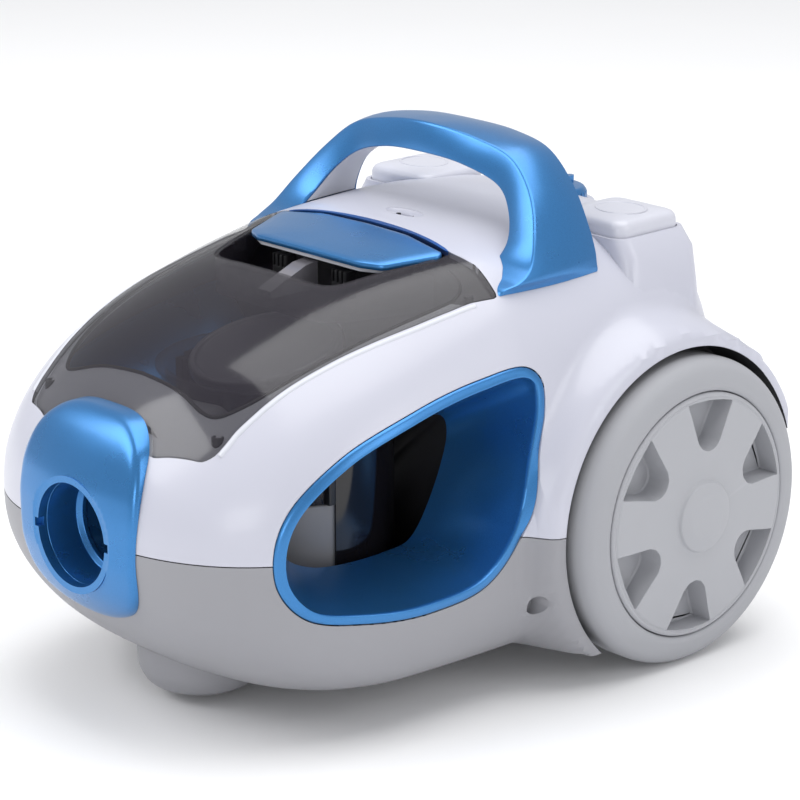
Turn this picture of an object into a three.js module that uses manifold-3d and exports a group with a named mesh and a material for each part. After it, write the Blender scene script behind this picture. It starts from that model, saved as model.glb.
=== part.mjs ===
// Canister vacuum cleaner. Millimetres, +Z up, hose port towards -Y, right side is +X, wheels stand on Z = 0.
import * as THREE from 'three';
import { mergeVertices } from 'three/addons/utils/BufferGeometryUtils.js';
import Module from 'manifold-3d';

const wasm = await Module();
wasm.setup();

// ---------- driving dimensions ----------
const NOSE_Y = -183;
const TAIL_Y = 186;
const HALF_WIDTH = 124;
const WALL = 3;
const GAP = 0.4;
const FAR = 400;

const WHEEL_Y = 104;
const WHEEL_RADIUS = 81.3;
const WHEEL_Z = WHEEL_RADIUS;
const WELL_RADIUS = 86;
const WELL_FACE_X = 108;
const FENDER_RADIUS = 91.5;
const FENDER_X = 137;
const HUB_RADIUS = 64.3;
const HUB_FACE_X = 148.8;
const AXLE_RADIUS = 6;

const PORT_Z = 102;
const PORT_RADIUS = 26;
const DUCT_RADIUS = 24;
const DUCT_OUTER = 29;
const DUCT_FRONT_Y = -176;
const DUCT_BACK_Y = -132;

const BIN_Y = -52;
const BIN_RADIUS = 58;
const BIN_FLOOR_Z = 60;
const BIN_SPLIT_Z = 104;
const BIN_TOP_Z = 160;
const THROAT_Z = 132;
const CAP_TILT = THREE.MathUtils.degToRad(14);
const CAP_CENTRE = [0, -57.5, 165];
const CAP_RADIUS = 39.5;

const CASTER_Y = -104;
const CASTER_RADIUS = 33;
const CASTER_WHEEL_Y = -94;
const CASTER_WHEEL_RADIUS = 7.5;
const CASTER_TOP_Z = 31;

const BULKHEAD_Y = 21;
const MOTOR_X = -34;
const MOTOR_Z = 100;
const MOTOR_RADIUS = 44;
const REEL_X = 50;
const REEL_Y = 98;
const REEL_Z = 100;
const REEL_RADIUS = 54;

const PEDAL_FLOOR_Z = 203;
const PEDAL_SEAM_Z = 217.5;
const PEDAL_TOP_Z = 227;
const DIAL_Y = 146;
const DIAL_RADIUS = 19;
const DIAL_FLOOR_Z = 214;

// ---------- curves of the body ----------
// Smooth curve through [x, y] points that never overshoots them.
function curve(points) {
  const xs = points.map((p) => p[0]);
  const ys = points.map((p) => p[1]);
  const widths = xs.slice(1).map((x, i) => x - xs[i]);
  const slopes = widths.map((w, i) => (ys[i + 1] - ys[i]) / w);
  const tangents = xs.map((_, i) => tangentAt(i, widths, slopes));
  return (value) => {
    const t = THREE.MathUtils.clamp(value, xs[0], xs[xs.length - 1]);
    let i = 0;
    while (i < xs.length - 2 && t > xs[i + 1]) i += 1;
    const s = (t - xs[i]) / widths[i];
    const keep = (1 + 2 * s) * (1 - s) ** 2 * ys[i] + s * s * (3 - 2 * s) * ys[i + 1];
    return keep + s * (1 - s) * widths[i] * ((1 - s) * tangents[i] - s * tangents[i + 1]);
  };
}

function tangentAt(i, widths, slopes) {
  if (i === 0) return slopes[0];
  if (i === slopes.length) return slopes[i - 1];
  if (slopes[i - 1] * slopes[i] <= 0) return 0;
  const before = 2 * widths[i] + widths[i - 1];
  const after = widths[i] + 2 * widths[i - 1];
  return (before + after) / (before / slopes[i - 1] + after / slopes[i]);
}

const topHeight = curve([
  [-183, 102.7], [-181.5, 117], [-178, 131], [-172, 144], [-165, 152.5], [-155, 163], [-145, 172], [-121, 188],
  [-95, 200], [-60, 212], [-25, 219], [10, 223], [40, 225.5], [75, 227], [105, 226], [130, 224], [150, 218],
  [165, 203], [175, 180], [183, 150], [186, 84],
]);
const bottomHeight = curve([
  [-183, 102.7], [-181.5, 90], [-178, 77], [-172, 65], [-165, 54], [-155, 43], [-145, 35], [-130, 25.5],
  [-110, 18], [-90, 15], [-60, 14], [130, 14], [153, 20], [172, 34], [182, 58], [186, 83],
]);
const topSquareness = curve([
  [-183, 2.2], [-165, 2.35], [-145, 2.42], [-121, 2.55], [-95, 2.65], [-60, 2.75], [-25, 3], [10, 3.4],
]);
const bottomSquareness = curve([
  [-183, 2.3], [-147, 2.5], [-120, 3.1], [-95, 3.8], [-60, 4.4], [0, 4.6], [186, 4],
]);

function halfWidth(y) {
  const front = THREE.MathUtils.clamp((-40 - y) / (-40 - NOSE_Y), 0, 1);
  const rear = THREE.MathUtils.clamp((y - 90) / (TAIL_Y - 90), 0, 1);
  return HALF_WIDTH * (1 - front ** 2.7) ** (1 / 2.7) * (1 - rear ** 3.2) ** (1 / 3.2);
}

// Height of the seam between the white shell and the grey base.
function seamHeight(y) {
  return 102.7 - 0.1 * THREE.MathUtils.clamp(y + 140, 0, 190);
}

function ease(t) {
  const s = THREE.MathUtils.clamp(t, 0, 1);
  return s * s * (3 - 2 * s);
}

// The body side swells out to the fender around each rear wheel.
function fenderX(x, y, z) {
  const radius = Math.hypot(y - WHEEL_Y, z - WHEEL_Z);
  const reach = 108 - 9 * THREE.MathUtils.clamp((y - 90) / 60, 0, 1);
  const near = ease((reach - radius) / (reach - FENDER_RADIUS)) * ease((Math.abs(x) - 70) / 30);
  return x + Math.sign(x) * near * Math.max(0, FENDER_X - Math.abs(x));
}

function bodyPoint(y, angle) {
  const upper = Math.sin(angle) >= 0;
  const seam = seamHeight(y);
  const height = upper ? topHeight(y) - seam : seam - bottomHeight(y);
  const power = 2 / (upper ? topSquareness(y) : bottomSquareness(y));
  const across = Math.cos(angle);
  const up = Math.sin(angle);
  const x = Math.sign(across) * halfWidth(y) * Math.abs(across) ** power;
  const z = seam + Math.sign(up) * height * Math.abs(up) ** power;
  return [fenderX(x, y, z), y, z];
}

// ---------- solids ----------
function solid(geometry) {
  const plain = geometry.clone();
  for (const name of Object.keys(plain.attributes)) {
    if (name !== 'position') plain.deleteAttribute(name);
  }
  const merged = mergeVertices(plain, 1e-3);
  const points = merged.attributes.position.array;
  const faces = [];
  for (let i = 0; i < merged.index.count; i += 3) {
    const [a, b, c] = [0, 1, 2].map((k) => merged.index.getX(i + k));
    if (a !== b && b !== c && a !== c) faces.push([a, b, c]);
  }
  const inside = signedVolume(points, faces) < 0;
  const triVerts = new Uint32Array(faces.flatMap(([a, b, c]) => (inside ? [a, c, b] : [a, b, c])));
  const mesh = new wasm.Mesh({ numProp: 3, vertProperties: new Float32Array(points), triVerts });
  return new wasm.Manifold(mesh);
}

function signedVolume(points, faces) {
  const at = (i) => new THREE.Vector3(points[3 * i], points[3 * i + 1], points[3 * i + 2]);
  return faces.reduce((sum, [a, b, c]) => sum + at(a).dot(at(b).cross(at(c))), 0);
}

function box(x0, x1, y0, y1, z0, z1) {
  const geometry = new THREE.BoxGeometry(x1 - x0, y1 - y0, z1 - z0);
  return solid(geometry.translate((x0 + x1) / 2, (y0 + y1) / 2, (z0 + z1) / 2));
}

// Outline points are [y, z] for axis x, [x, z] for axis y and [x, y] for axis z.
function slab(outline, axis, from, to) {
  const shape = new THREE.Shape(outline.map((p) => new THREE.Vector2(p[0], p[1])));
  const geometry = new THREE.ExtrudeGeometry(shape, { depth: to - from, bevelEnabled: false });
  geometry.translate(0, 0, from);
  const place = new THREE.Matrix4();
  if (axis === 'x') place.makeBasis(vec(0, 1, 0), vec(0, 0, 1), vec(1, 0, 0));
  if (axis === 'y') place.makeBasis(vec(1, 0, 0), vec(0, 0, 1), vec(0, 1, 0));
  return solid(geometry.applyMatrix4(place));
}

function vec(x, y, z) {
  return new THREE.Vector3(x, y, z);
}

// Profile points are [radius, distance along the axis], closed round the section.
function turned(profile, axis, centre, sides = 20) {
  const points = [...profile, profile[0]].map((p) => new THREE.Vector2(p[0], p[1]));
  const geometry = new THREE.LatheGeometry(points, sides);
  if (axis === 'z') geometry.rotateX(Math.PI / 2);
  if (axis === 'x') geometry.rotateZ(-Math.PI / 2);
  return solid(geometry.translate(...centre));
}

function rod(axis, centre, radius, from, to, sides = 20) {
  return turned([[0, from], [radius, from], [radius, to], [0, to]], axis, centre, sides);
}

function ring(axis, centre, inner, outer, from, to, sides = 20) {
  return turned([[inner, from], [outer, from], [outer, to], [inner, to]], axis, centre, sides);
}

// Skin over closed rings of points, with a flat fan on each end.
function skinned(rings) {
  const sides = rings[0].length;
  const points = rings.flat();
  const faces = [];
  for (let r = 0; r < rings.length - 1; r += 1) {
    for (let s = 0; s < sides; s += 1) {
      const next = (s + 1) % sides;
      const [a, b] = [r * sides + s, r * sides + next];
      faces.push([a, b, b + sides], [a, b + sides, a + sides]);
    }
  }
  addFan(points, faces, rings[0], 0, true);
  addFan(points, faces, rings[rings.length - 1], (rings.length - 1) * sides, false);
  const geometry = new THREE.BufferGeometry();
  geometry.setAttribute('position', new THREE.Float32BufferAttribute(points.flat(), 3));
  geometry.setIndex(faces.flat());
  return solid(geometry);
}

function addFan(points, faces, ringPoints, first, flip) {
  const centre = points.length;
  points.push([0, 1, 2].map((k) => ringPoints.reduce((sum, p) => sum + p[k], 0) / ringPoints.length));
  ringPoints.forEach((_, s) => {
    const a = first + s;
    const b = first + ((s + 1) % ringPoints.length);
    faces.push(flip ? [centre, b, a] : [centre, a, b]);
  });
}

function smoothOutline(points, count) {
  const path = new THREE.CatmullRomCurve3(points.map((p) => vec(p[0], p[1], 0)), true, 'centripetal');
  return path.getSpacedPoints(count).slice(0, count).map((p) => [p.x, p.y]);
}

// Outline moved outwards (or inwards for a negative distance) along its own normals.
function grown(outline, distance) {
  const area = outline.reduce((sum, p, i) => {
    const q = outline[(i + 1) % outline.length];
    return sum + p[0] * q[1] - q[0] * p[1];
  }, 0);
  const side = Math.sign(area) * distance;
  return outline.map((p, i) => {
    const before = outline[(i + outline.length - 1) % outline.length];
    const after = outline[(i + 1) % outline.length];
    const along = new THREE.Vector2(after[0] - before[0], after[1] - before[1]).normalize();
    return [p[0] + along.y * side, p[1] - along.x * side];
  });
}

function roundedBox(x0, x1, y0, y1, radius, steps = 4) {
  const corners = [[x1, y1, 0], [x0, y1, 1], [x0, y0, 2], [x1, y0, 3]];
  return corners.flatMap(([x, y, quarter]) => {
    const centre = [x - Math.sign(x - (x0 + x1) / 2) * radius, y - Math.sign(y - (y0 + y1) / 2) * radius];
    return Array.from({ length: steps + 1 }, (_, i) => {
      const angle = (quarter + i / steps) * Math.PI / 2;
      return [centre[0] + radius * Math.cos(angle), centre[1] + radius * Math.sin(angle)];
    });
  });
}

function joined(...parts) {
  return parts.reduce((sum, part) => sum.add(part));
}

function mirrored(outline) {
  return outline.map((p) => [-p[0], p[1]]);
}

const COIL_STEPS = 8;

// Coil spring standing on height z0 around a vertical axis.
function coil(centre, radius, wire, z0, z1, turns) {
  const steps = turns * COIL_STEPS;
  const rings = Array.from({ length: steps + 1 }, (_, i) => {
    const angle = (i / COIL_STEPS) * 2 * Math.PI;
    const z = z0 + wire + (z1 - z0 - 2 * wire) * (i / steps);
    return Array.from({ length: 4 }, (_unused, k) => {
      const around = (k / 4) * 2 * Math.PI;
      const reach = radius + wire * Math.cos(around);
      return [centre[0] + reach * Math.cos(angle), centre[1] + reach * Math.sin(angle), z + wire * Math.sin(around)];
    });
  });
  return skinned(rings);
}

// ---------- body shells ----------
const BODY_CENTRE_Z = 110;
const REACH_ABOVE = 117;
const REACH_BELOW = 96;

// The body surface drawn in by a distance, as one closed solid.
function bodySolid(inset) {
  const stations = 22;
  const sides = 28;
  const middleY = (NOSE_Y + TAIL_Y) / 2;
  const scaleX = (HALF_WIDTH - inset) / HALF_WIDTH;
  const scaleY = (TAIL_Y - middleY - inset) / (TAIL_Y - middleY);
  const rings = [];
  for (let i = 0; i <= stations; i += 1) {
    const t = THREE.MathUtils.clamp(i / stations, 0.004, 0.996);
    const y = middleY - (TAIL_Y - middleY) * Math.cos(Math.PI * t);
    rings.push(Array.from({ length: sides }, (_, k) => {
      const [x, , z] = bodyPoint(y, (2 * Math.PI * k) / sides);
      const reach = z > BODY_CENTRE_Z ? REACH_ABOVE : REACH_BELOW;
      const drawnIn = BODY_CENTRE_Z + (z - BODY_CENTRE_Z) * (1 - inset / reach);
      return [x * scaleX, middleY + (y - middleY) * scaleY, drawnIn];
    }));
  }
  return skinned(rings);
}

const wheelCentre = [0, WHEEL_Y, WHEEL_Z];

// Drum that covers each rear wheel from the front, above and behind.
function fenderDrum(side) {
  const inner = 104;
  const profile = [
    [0, inner], [FENDER_RADIUS, inner], [FENDER_RADIUS, FENDER_X - 2.5], [FENDER_RADIUS - 2, FENDER_X], [0, FENDER_X],
  ];
  const drum = turned(profile.map(([r, x]) => [r, side * x]), 'x', wheelCentre, 32);
  const room = box(-FAR, FAR, -FAR, TAIL_Y - 0.02, 18, FAR);
  return drum.intersect(room).subtract(box(-FAR, FAR, WHEEL_Y, FAR, -FAR, WHEEL_Z + 10));
}

const outerBody = bodySolid(0).add(both(fenderDrum));
const clearBody = bodySolid(-GAP);
const innerBody = bodySolid(WALL);

function aboveSeam(lift) {
  const low = (y) => seamHeight(y) + lift;
  return slab([[-FAR, low(-FAR)], [-140, low(-140)], [50, low(50)], [FAR, low(FAR)], [FAR, FAR], [-FAR, FAR]],
    'x', -FAR, FAR);
}

function both(make) {
  return make(1).add(make(-1));
}

function onSide(side, from, to) {
  return side > 0 ? [from, to] : [-to, -from];
}

const wellCuts = both((side) => rod('x', wheelCentre, WELL_RADIUS, ...onSide(side, WELL_FACE_X, FAR), 32));
const wellLining = both((side) => rod('x', wheelCentre, WELL_RADIUS + 2.5, ...onSide(side, WELL_FACE_X - 2.5, FAR), 32));

const windowOutline = smoothOutline([
  [10, 172], [18, 165], [18, 151], [12, 131], [0, 90], [-23, 69], [-60, 64], [-100, 67], [-128, 73.5], [-141, 90],
  [-142, 112], [-133, 130], [-105, 150], [-60, 164], [-20, 171],
], 20);
const windowInner = smoothOutline([
  [-2, 139], [2, 128], [-22, 80], [-40, 76], [-90, 80], [-107, 91], [-98, 110], [-79, 123], [-46, 136],
], 20);
const WINDOW_INNER_X = 68;
const WINDOW_RIM = 6;
const BEZEL_OVERLAP = 6;

const lidOutline = [
  [0, -168], [42, -165], [49, -162], [59.5, -158], [66, -155.5], [70, -151], [71.4, -145], [71.8, -140], [73.8, -131],
  [77, -113], [80.3, -95.5], [84.7, -68.7], [88.5, -39.5], [91.7, -5.5], [95.2, 9.8], [76, 13.5], [60, 11],
  [30, 16], [0, 18],
];
const lidPlan = [...lidOutline, ...mirrored(lidOutline.slice(1, -1)).reverse()];

const scoopHalf = [[0, -60], [30, -60], [42, -57], [48, -50], [58, -14], [60, 4]];
const scoopPlan = [...scoopHalf, ...mirrored(scoopHalf.slice(1)).reverse()];

const bezelPlan = smoothOutline([
  [0, 163], [24, 160.5], [37, 151], [43, 138], [45.3, 118], [44.8, 98], [42, 80], [34.5, 68.5], [19, 61], [0, 58],
  [-19, 61], [-34.5, 68.5], [-42, 80], [-44.8, 98], [-45.3, 118], [-43, 138], [-37, 151], [-24, 160.5],
], 22);
const bezelSide = [
  [-150, 50], [-168, 56], [-177, 66], [-183, 80], [-186, 96], [-186, 112], [-184.5, 126], [-180.5, 140],
  [-174, 153], [-165, 163], [-156, 169], [-150, 171],
];

function towerPlan(side, inset) {
  return roundedBox(...onSide(side, 46 + inset, 98 - inset), 95 + inset, 147 - inset, 9 - inset / 2);
}

// Shoulder under each pedal: steeper than the body and a little wider at its foot.
function tower(side) {
  const foot = roundedBox(...onSide(side, 46, 109), 95, 151, 9);
  const waist = roundedBox(...onSide(side, 46, 107), 95, 149.5, 9);
  const at = (outline, z) => outline.map(([x, y]) => [x, y, z]);
  const block = slab(towerPlan(side, 0), 'z', PEDAL_FLOOR_Z - 7, 240);
  const shoulder = skinned([at(foot, 165), at(waist, 190), at(towerPlan(side, 0), PEDAL_SEAM_Z)]);
  return shoulder.subtract(innerBody).add(block.intersect(shoulder.add(outerBody)));
}

const axleBlocks = (grow) => both((side) => box(...onSide(side, 88 - grow, 105.8 + grow),
  WHEEL_Y - 12 - grow, WHEEL_Y + 12 + grow, 15, 96 + grow));

function openedShell() {
  const wells = wellLining.intersect(outerBody);
  const shell = outerBody.subtract(innerBody).add(wells).subtract(wellCuts);
  const windows = both((side) => slab(grown(windowOutline, GAP), 'x', ...onSide(side, 60, FAR)));
  const port = slab(grown(bezelPlan, -BEZEL_OVERLAP), 'y', -FAR, -150);
  const axleHoles = both((side) => rod('x', wheelCentre, AXLE_RADIUS + 2, ...onSide(side, 100, 112)));
  return shell.subtract(joined(windows, port, axleHoles));
}

const shell = openedShell();

function lowerBase() {
  const floorOnly = shell.subtract(aboveSeam(-GAP));
  const casterCentre = [0, CASTER_Y, 0];
  const pocket = rod('z', casterCentre, CASTER_RADIUS + 5, 12, CASTER_TOP_Z + 4).intersect(outerBody);
  const boss = rod('z', casterCentre, 10, CASTER_TOP_Z + 3, 52);
  const cradles = joined(
    box(MOTOR_X - 34, MOTOR_X + 34, 44, 48, 15, 66),
    box(MOTOR_X - 34, MOTOR_X + 34, 112, 116, 15, 66),
  ).subtract(rod('y', [MOTOR_X, 0, MOTOR_Z], MOTOR_RADIUS + 5, 0, 200));
  const reelPost = box(REEL_X - 30, REEL_X + 30, REEL_Y - 8, REEL_Y + 8, 15, 38);
  const screwBosses = joined(...SCREWS.map(([x, y]) => rod('z', [x, y, 0], 7, 14.5, 38, 12)));
  const added = joined(pocket, boss, cradles, reelPost, screwBosses, axleBlocks(0));
  const cuts = joined(
    rod('z', casterCentre, CASTER_RADIUS + 2, -10, CASTER_TOP_Z + 1),
    rod('z', casterCentre, 5.4, 20, 49),
    rod('x', wheelCentre, AXLE_RADIUS + 0.2, -120, 120),
    rod('y', [REEL_X, 0, 62], 8.5, 150, 220, 24),
    ...SCREWS.map(([x, y]) => rod('z', [x, y, 0], 5, 0, 18, 12)),
    ...SCREWS.map(([x, y]) => rod('z', [x, y, 0], 2.3, 10, 36.5, 8)),
  );
  return floorOnly.add(added).subtract(cuts);
}

const SCREWS = [[72, -52], [-72, -52], [60, 140], [-60, 140]];

function upperBody() {
  const cover = shell.intersect(aboveSeam(0));
  const towers = both(tower);
  const pockets = both((side) => slab(towerPlan(side, 2), 'z', PEDAL_FLOOR_Z, 260));
  const dialFloor = rod('z', [0, DIAL_Y, 0], DIAL_RADIUS + 4, 209, DIAL_FLOOR_Z);
  const dialPocket = rod('z', [0, DIAL_Y, 0], DIAL_RADIUS + 1, DIAL_FLOOR_Z - 1, 260)
    .add(rod('z', [0, DIAL_Y, 0], 3.4, 200, 215, 16));
  const lidHole = slab(grown(lidPlan, GAP), 'z', 138, 260);
  const grilleHole = slab(grown(grillePlan, GAP), 'y', 155, FAR);
  return cover.add(towers).add(dialFloor).subtract(joined(pockets, dialPocket, lidHole, grilleHole, axleBlocks(0.3)));
}

const grillePlan = roundedBox(-52, 52, 100, 146, 10);

// Blue scoop set into each side: a rim in the shell and a funnel that narrows inwards.
function windowFrame(side) {
  const at = (outline, x) => outline.map(([y, z]) => [side * x, y, z]);
  const surface = windowOutline;
  const mouth = grown(surface, -WINDOW_RIM);
  const outerFunnel = skinned([
    at(grown(windowInner, 2.5), WINDOW_INNER_X), at(grown(surface, -1.5), 112), at(surface, 126)]);
  const innerFunnel = skinned([
    at(windowInner, WINDOW_INNER_X - 1), at(mouth, 116), at(grown(mouth, 2), 140)]);
  const rimBand = outerBody.subtract(bodySolid(6));
  const rim = slab(surface, 'x', ...onSide(side, 60, FAR)).intersect(rimBand);
  return outerFunnel.intersect(outerBody).add(rim).subtract(innerFunnel);
}

function hoseBezel() {
  const shield = slab(bezelPlan, 'y', -200, -140);
  const face = slab(bezelSide, 'x', -60, 60);
  const bore = rod('y', [0, 0, PORT_Z], PORT_RADIUS, -200, -140);
  const counterBore = rod('y', [0, 0, PORT_Z], DUCT_OUTER + 0.6, -179, -140);
  return shield.intersect(face).subtract(joined(clearBody, bore, counterBore));
}

function inletDuct() {
  const pipe = ring('y', [0, 0, PORT_Z], DUCT_RADIUS, DUCT_OUTER, DUCT_FRONT_Y, DUCT_BACK_Y);
  return pipe.subtract(rod('y', [0, 0, PORT_Z], PORT_RADIUS - 0.5, -200, DUCT_FRONT_Y + 8));
}

// ---------- carry handle ----------
// Corner lines of one half of the arch, from the foot to the middle: front outer, rear outer, rear inner, front inner.
const HANDLE_LINES = [
  [[92, 8, 194], [96, 11.5, 205], [99, 22, 209], [97.8, 31, 214.6], [90.4, 40.5, 228.4], [76.7, 50.6, 246.6],
    [59.4, 55, 260.5], [35, 54, 267.3], [0, 51, 271]],
  [[94, 79, 194], [97.6, 80, 205], [97, 80, 209], [95.5, 80.5, 214.6], [90, 81, 227], [77, 83, 245.5],
    [59, 84, 261], [35, 85, 266.5], [0, 85, 268]],
  [[78, 76, 196], [78, 76, 206], [78, 75, 210], [77.5, 74, 215], [75, 73, 224], [68, 74, 238],
    [54, 77, 248], [30, 79, 253], [0, 80, 254.5]],
  [[76, 13, 196], [75.5, 15, 208], [75.2, 20.9, 211.7], [74.9, 28, 215], [73, 38, 223], [65.7, 45.9, 235.4],
    [54.4, 50.5, 245.4], [30, 49, 253], [0, 48, 255]],
];

function archRings(trim) {
  const lines = HANDLE_LINES.map((line) => {
    const far = line.slice(0, -1).map(([x, y, z]) => vec(-x, y, z));
    const near = line.map(([x, y, z]) => vec(x, y, z)).reverse();
    return new THREE.CatmullRomCurve3([...far, ...near], false, 'centripetal');
  });
  const steps = 24;
  return Array.from({ length: steps + 1 }, (_, i) => trim(lines.map((line) => line.getPoint(i / steps))));
}

function mix(a, b, t) {
  return a.clone().lerp(b, t);
}

function plainPoints(points) {
  return points.map((p) => [p.x, p.y, p.z]);
}

// A strip along the underside of the arch, sunk between its front and rear edges.
function archStrip(margin, depth, below) {
  return skinned(archRings(([frontOut, rearOut, rearIn, frontIn]) => {
    const front = mix(frontIn, rearIn, margin);
    const rear = mix(rearIn, frontIn, margin / 2);
    const up = mix(frontOut, rearOut, 0.5).sub(mix(frontIn, rearIn, 0.5)).normalize();
    const raised = (p, height) => p.clone().addScaledVector(up, height);
    return plainPoints([raised(front, depth), raised(rear, depth), raised(rear, -below), raised(front, -below)]);
  }));
}

function carryHandle() {
  const arch = skinned(archRings((corners) => plainPoints(corners)));
  return arch.subtract(archStrip(0.06, 3, 4)).subtract(clearBody);
}

function handleUnderside() {
  return archStrip(0.08, 2.6, 0).subtract(bodySolid(-1));
}

// ---------- dust container ----------
function lidCanopy() {
  const skin = outerBody.subtract(bodySolid(2.5)).intersect(slab(lidPlan, 'z', 138, 260));
  const scoop = slab(scoopPlan, 'z', 190, 260);
  const rearStep = slab(flapPlan(0.8), 'z', 190, 260).add(slab(flapRoom, 'z', 190, 260));
  const bezelRoom = slab(grown(bezelPlan, 1), 'y', -200, -158);
  return skin.subtract(joined(scoop, rearStep, bezelRoom));
}

function canopySeal() {
  const half = [
    [0, -137.5], [30, -139], [50, -141.3], [57.5, -139.5], [64.8, -130.8], [70.6, -117], [77.5, -85], [81.6, -49.5],
    [84.4, -15], [84.4, 20],
  ];
  const plan = [...half, ...mirrored(half.slice(1)).reverse()];
  const band = bodySolid(2.9).subtract(bodySolid(5.5));
  const strip = slab(grown(plan, 1.2), 'z', 138, 260).subtract(slab(grown(plan, -1.2), 'z', 100, 300));
  const rear = box(-FAR, FAR, 2, 40, 100, 260);
  return band.intersect(strip).subtract(rear);
}

function latchTray() {
  const room = slab(grown(scoopPlan, -GAP), 'z', 192, 260).subtract(slab(grown(scoopPlan, -2.4), 'z', 195, 260));
  return room.intersect(bodySolid(0.6)).subtract(slab(flapPlan(1.2), 'z', 208, 260));
}

function flapPlan(grow) {
  const half = [[0, -33], [38, -31], [50, -25], [61, 3], [60, 6.5], [30, 9.5], [0, 10.5]];
  return grown([...half, ...mirrored(half.slice(1, -1)).reverse()], grow);
}

const FLAP_HINGE = [0, 5, 217];

// The flap's rear edge swings back into this room as its front lifts.
const flapRoom = [[-61.8, 0], [61.8, 0], [61.8, 9.6], [30, 12.9], [0, 13.9], [-30, 12.9], [-61.8, 9.6]];

function latchFlap() {
  const plate = bodySolid(-1.2).subtract(bodySolid(2)).intersect(slab(flapPlan(0), 'z', 200, 260));
  const knuckle = rod('x', FLAP_HINGE, 2.6, -30, 30, 20);
  const web = box(-30, 30, FLAP_HINGE[1] - 2, FLAP_HINGE[1] + 2, FLAP_HINGE[2], 221);
  return plate.add(knuckle).add(web).subtract(rod('x', FLAP_HINGE, 1.3, -40, 40, 16));
}

function latchPin() {
  return rod('x', FLAP_HINGE, 1.1, -33, 33, 16);
}

function binCup() {
  const centre = [0, BIN_Y, 0];
  const wall = turned([
    [BIN_RADIUS - 2.2, BIN_SPLIT_Z + GAP], [BIN_RADIUS, BIN_SPLIT_Z + GAP], [BIN_RADIUS, BIN_TOP_Z],
    [BIN_RADIUS + 3, BIN_TOP_Z + 2], [BIN_RADIUS + 3, BIN_TOP_Z + 4], [BIN_RADIUS - 2.2, BIN_TOP_Z + 4],
  ], 'z', centre, 28);
  const ribs = both((side) => box(...onSide(side, BIN_RADIUS - 5, BIN_RADIUS + 1.5), BIN_Y - 17, BIN_Y - 13,
    BIN_SPLIT_Z + GAP, BIN_TOP_Z));
  const throatHole = rod('y', [0, 0, THROAT_Z], 19, -130, -90);
  return wall.add(ribs.intersect(rod('z', centre, BIN_RADIUS + 1.5, 0, 300))).subtract(throatHole)
    .intersect(bodySolid(4));
}

function binFloor() {
  return turned([
    [0, BIN_FLOOR_Z], [BIN_RADIUS - 6, BIN_FLOOR_Z], [BIN_RADIUS, BIN_FLOOR_Z + 6], [BIN_RADIUS, BIN_SPLIT_Z],
    [BIN_RADIUS - 3, BIN_SPLIT_Z], [BIN_RADIUS - 3, BIN_FLOOR_Z + 8], [BIN_RADIUS - 8, BIN_FLOOR_Z + 3],
    [0, BIN_FLOOR_Z + 3],
  ], 'z', [0, BIN_Y, 0], 28);
}

// Grey elbow that carries the air from the port level up into the container.
function binThroat() {
  const front = DUCT_BACK_Y + 4.5;
  const outside = box(-27, 27, front, BIN_Y - 30, 75, 156);
  const inside = box(-24.5, 24.5, front + 2.5, BIN_Y - 20, 77.5, 153.5);
  const bin = rod('z', [0, BIN_Y, 0], BIN_RADIUS + 1, 0, 300, 28);
  return outside.subtract(joined(inside, bin, rod('y', [0, 0, PORT_Z], DUCT_RADIUS, -200, -90)));
}

function cycloneShroud() {
  const cage = turned([
    [0, 92], [16, 92], [27, 104], [27, 150], [24.5, 150], [24.5, 105], [15, 94.5], [0, 94.5],
  ], 'z', [0, BIN_Y, 0], 24);
  const slots = Array.from({ length: 8 }, (_, i) => {
    const angle = (i / 8) * 2 * Math.PI;
    const geometry = new THREE.BoxGeometry(20, 6, 32);
    geometry.translate(24, 0, 128).rotateZ(angle).translate(0, BIN_Y, 0);
    return solid(geometry);
  });
  return cage.subtract(joined(...slots));
}

function cycloneCap() {
  const rim = CAP_RADIUS;
  const profile = [[0, 0], [rim, 0], [rim, 7], [rim - 1, 8], [rim - 4, 8], [rim - 5, 6], [0, 6]];
  const geometry = new THREE.LatheGeometry([...profile, profile[0]].map((p) => new THREE.Vector2(...p)), 28);
  geometry.rotateX(Math.PI / 2).rotateX(CAP_TILT).translate(...CAP_CENTRE);
  const disc = solid(geometry);
  const stalk = ring('z', [0, BIN_Y, 0], 18, 23, 150.4, 172, 24);
  return disc.add(stalk.subtract(aboveCap()));
}

function aboveCap() {
  const geometry = new THREE.BoxGeometry(200, 200, 60);
  geometry.translate(0, 0, 34).rotateX(CAP_TILT).translate(...CAP_CENTRE);
  return solid(geometry);
}

// ---------- suction, exhaust and cord storage ----------
function bulkhead() {
  const plate = box(-200, 200, BULKHEAD_Y, BULKHEAD_Y + 3, 18, 240).intersect(bodySolid(WALL + 1));
  const wells = both((side) => rod('x', wheelCentre, WELL_RADIUS + 3.5, ...onSide(side, 100, 200), 32));
  const slots = Array.from({ length: 7 }, (_, i) => {
    const z = MOTOR_Z - 33 + i * 11;
    const half = Math.sqrt(38 ** 2 - (z - MOTOR_Z) ** 2);
    return box(MOTOR_X - half, MOTOR_X + half, 0, 60, z - 3, z + 3);
  });
  return plate.subtract(joined(wells, ...slots));
}

const motorCentre = [MOTOR_X, 0, MOTOR_Z];

function motorHousing() {
  return turned([
    [14, 38], [30, 38], [MOTOR_RADIUS, 44], [MOTOR_RADIUS, 84], [34, 90], [34, 122], [10, 122], [10, 119],
    [31, 119], [31, 88], [MOTOR_RADIUS - 3, 82], [MOTOR_RADIUS - 3, 46], [29, 41], [14, 41],
  ], 'y', motorCentre, 20);
}

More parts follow.
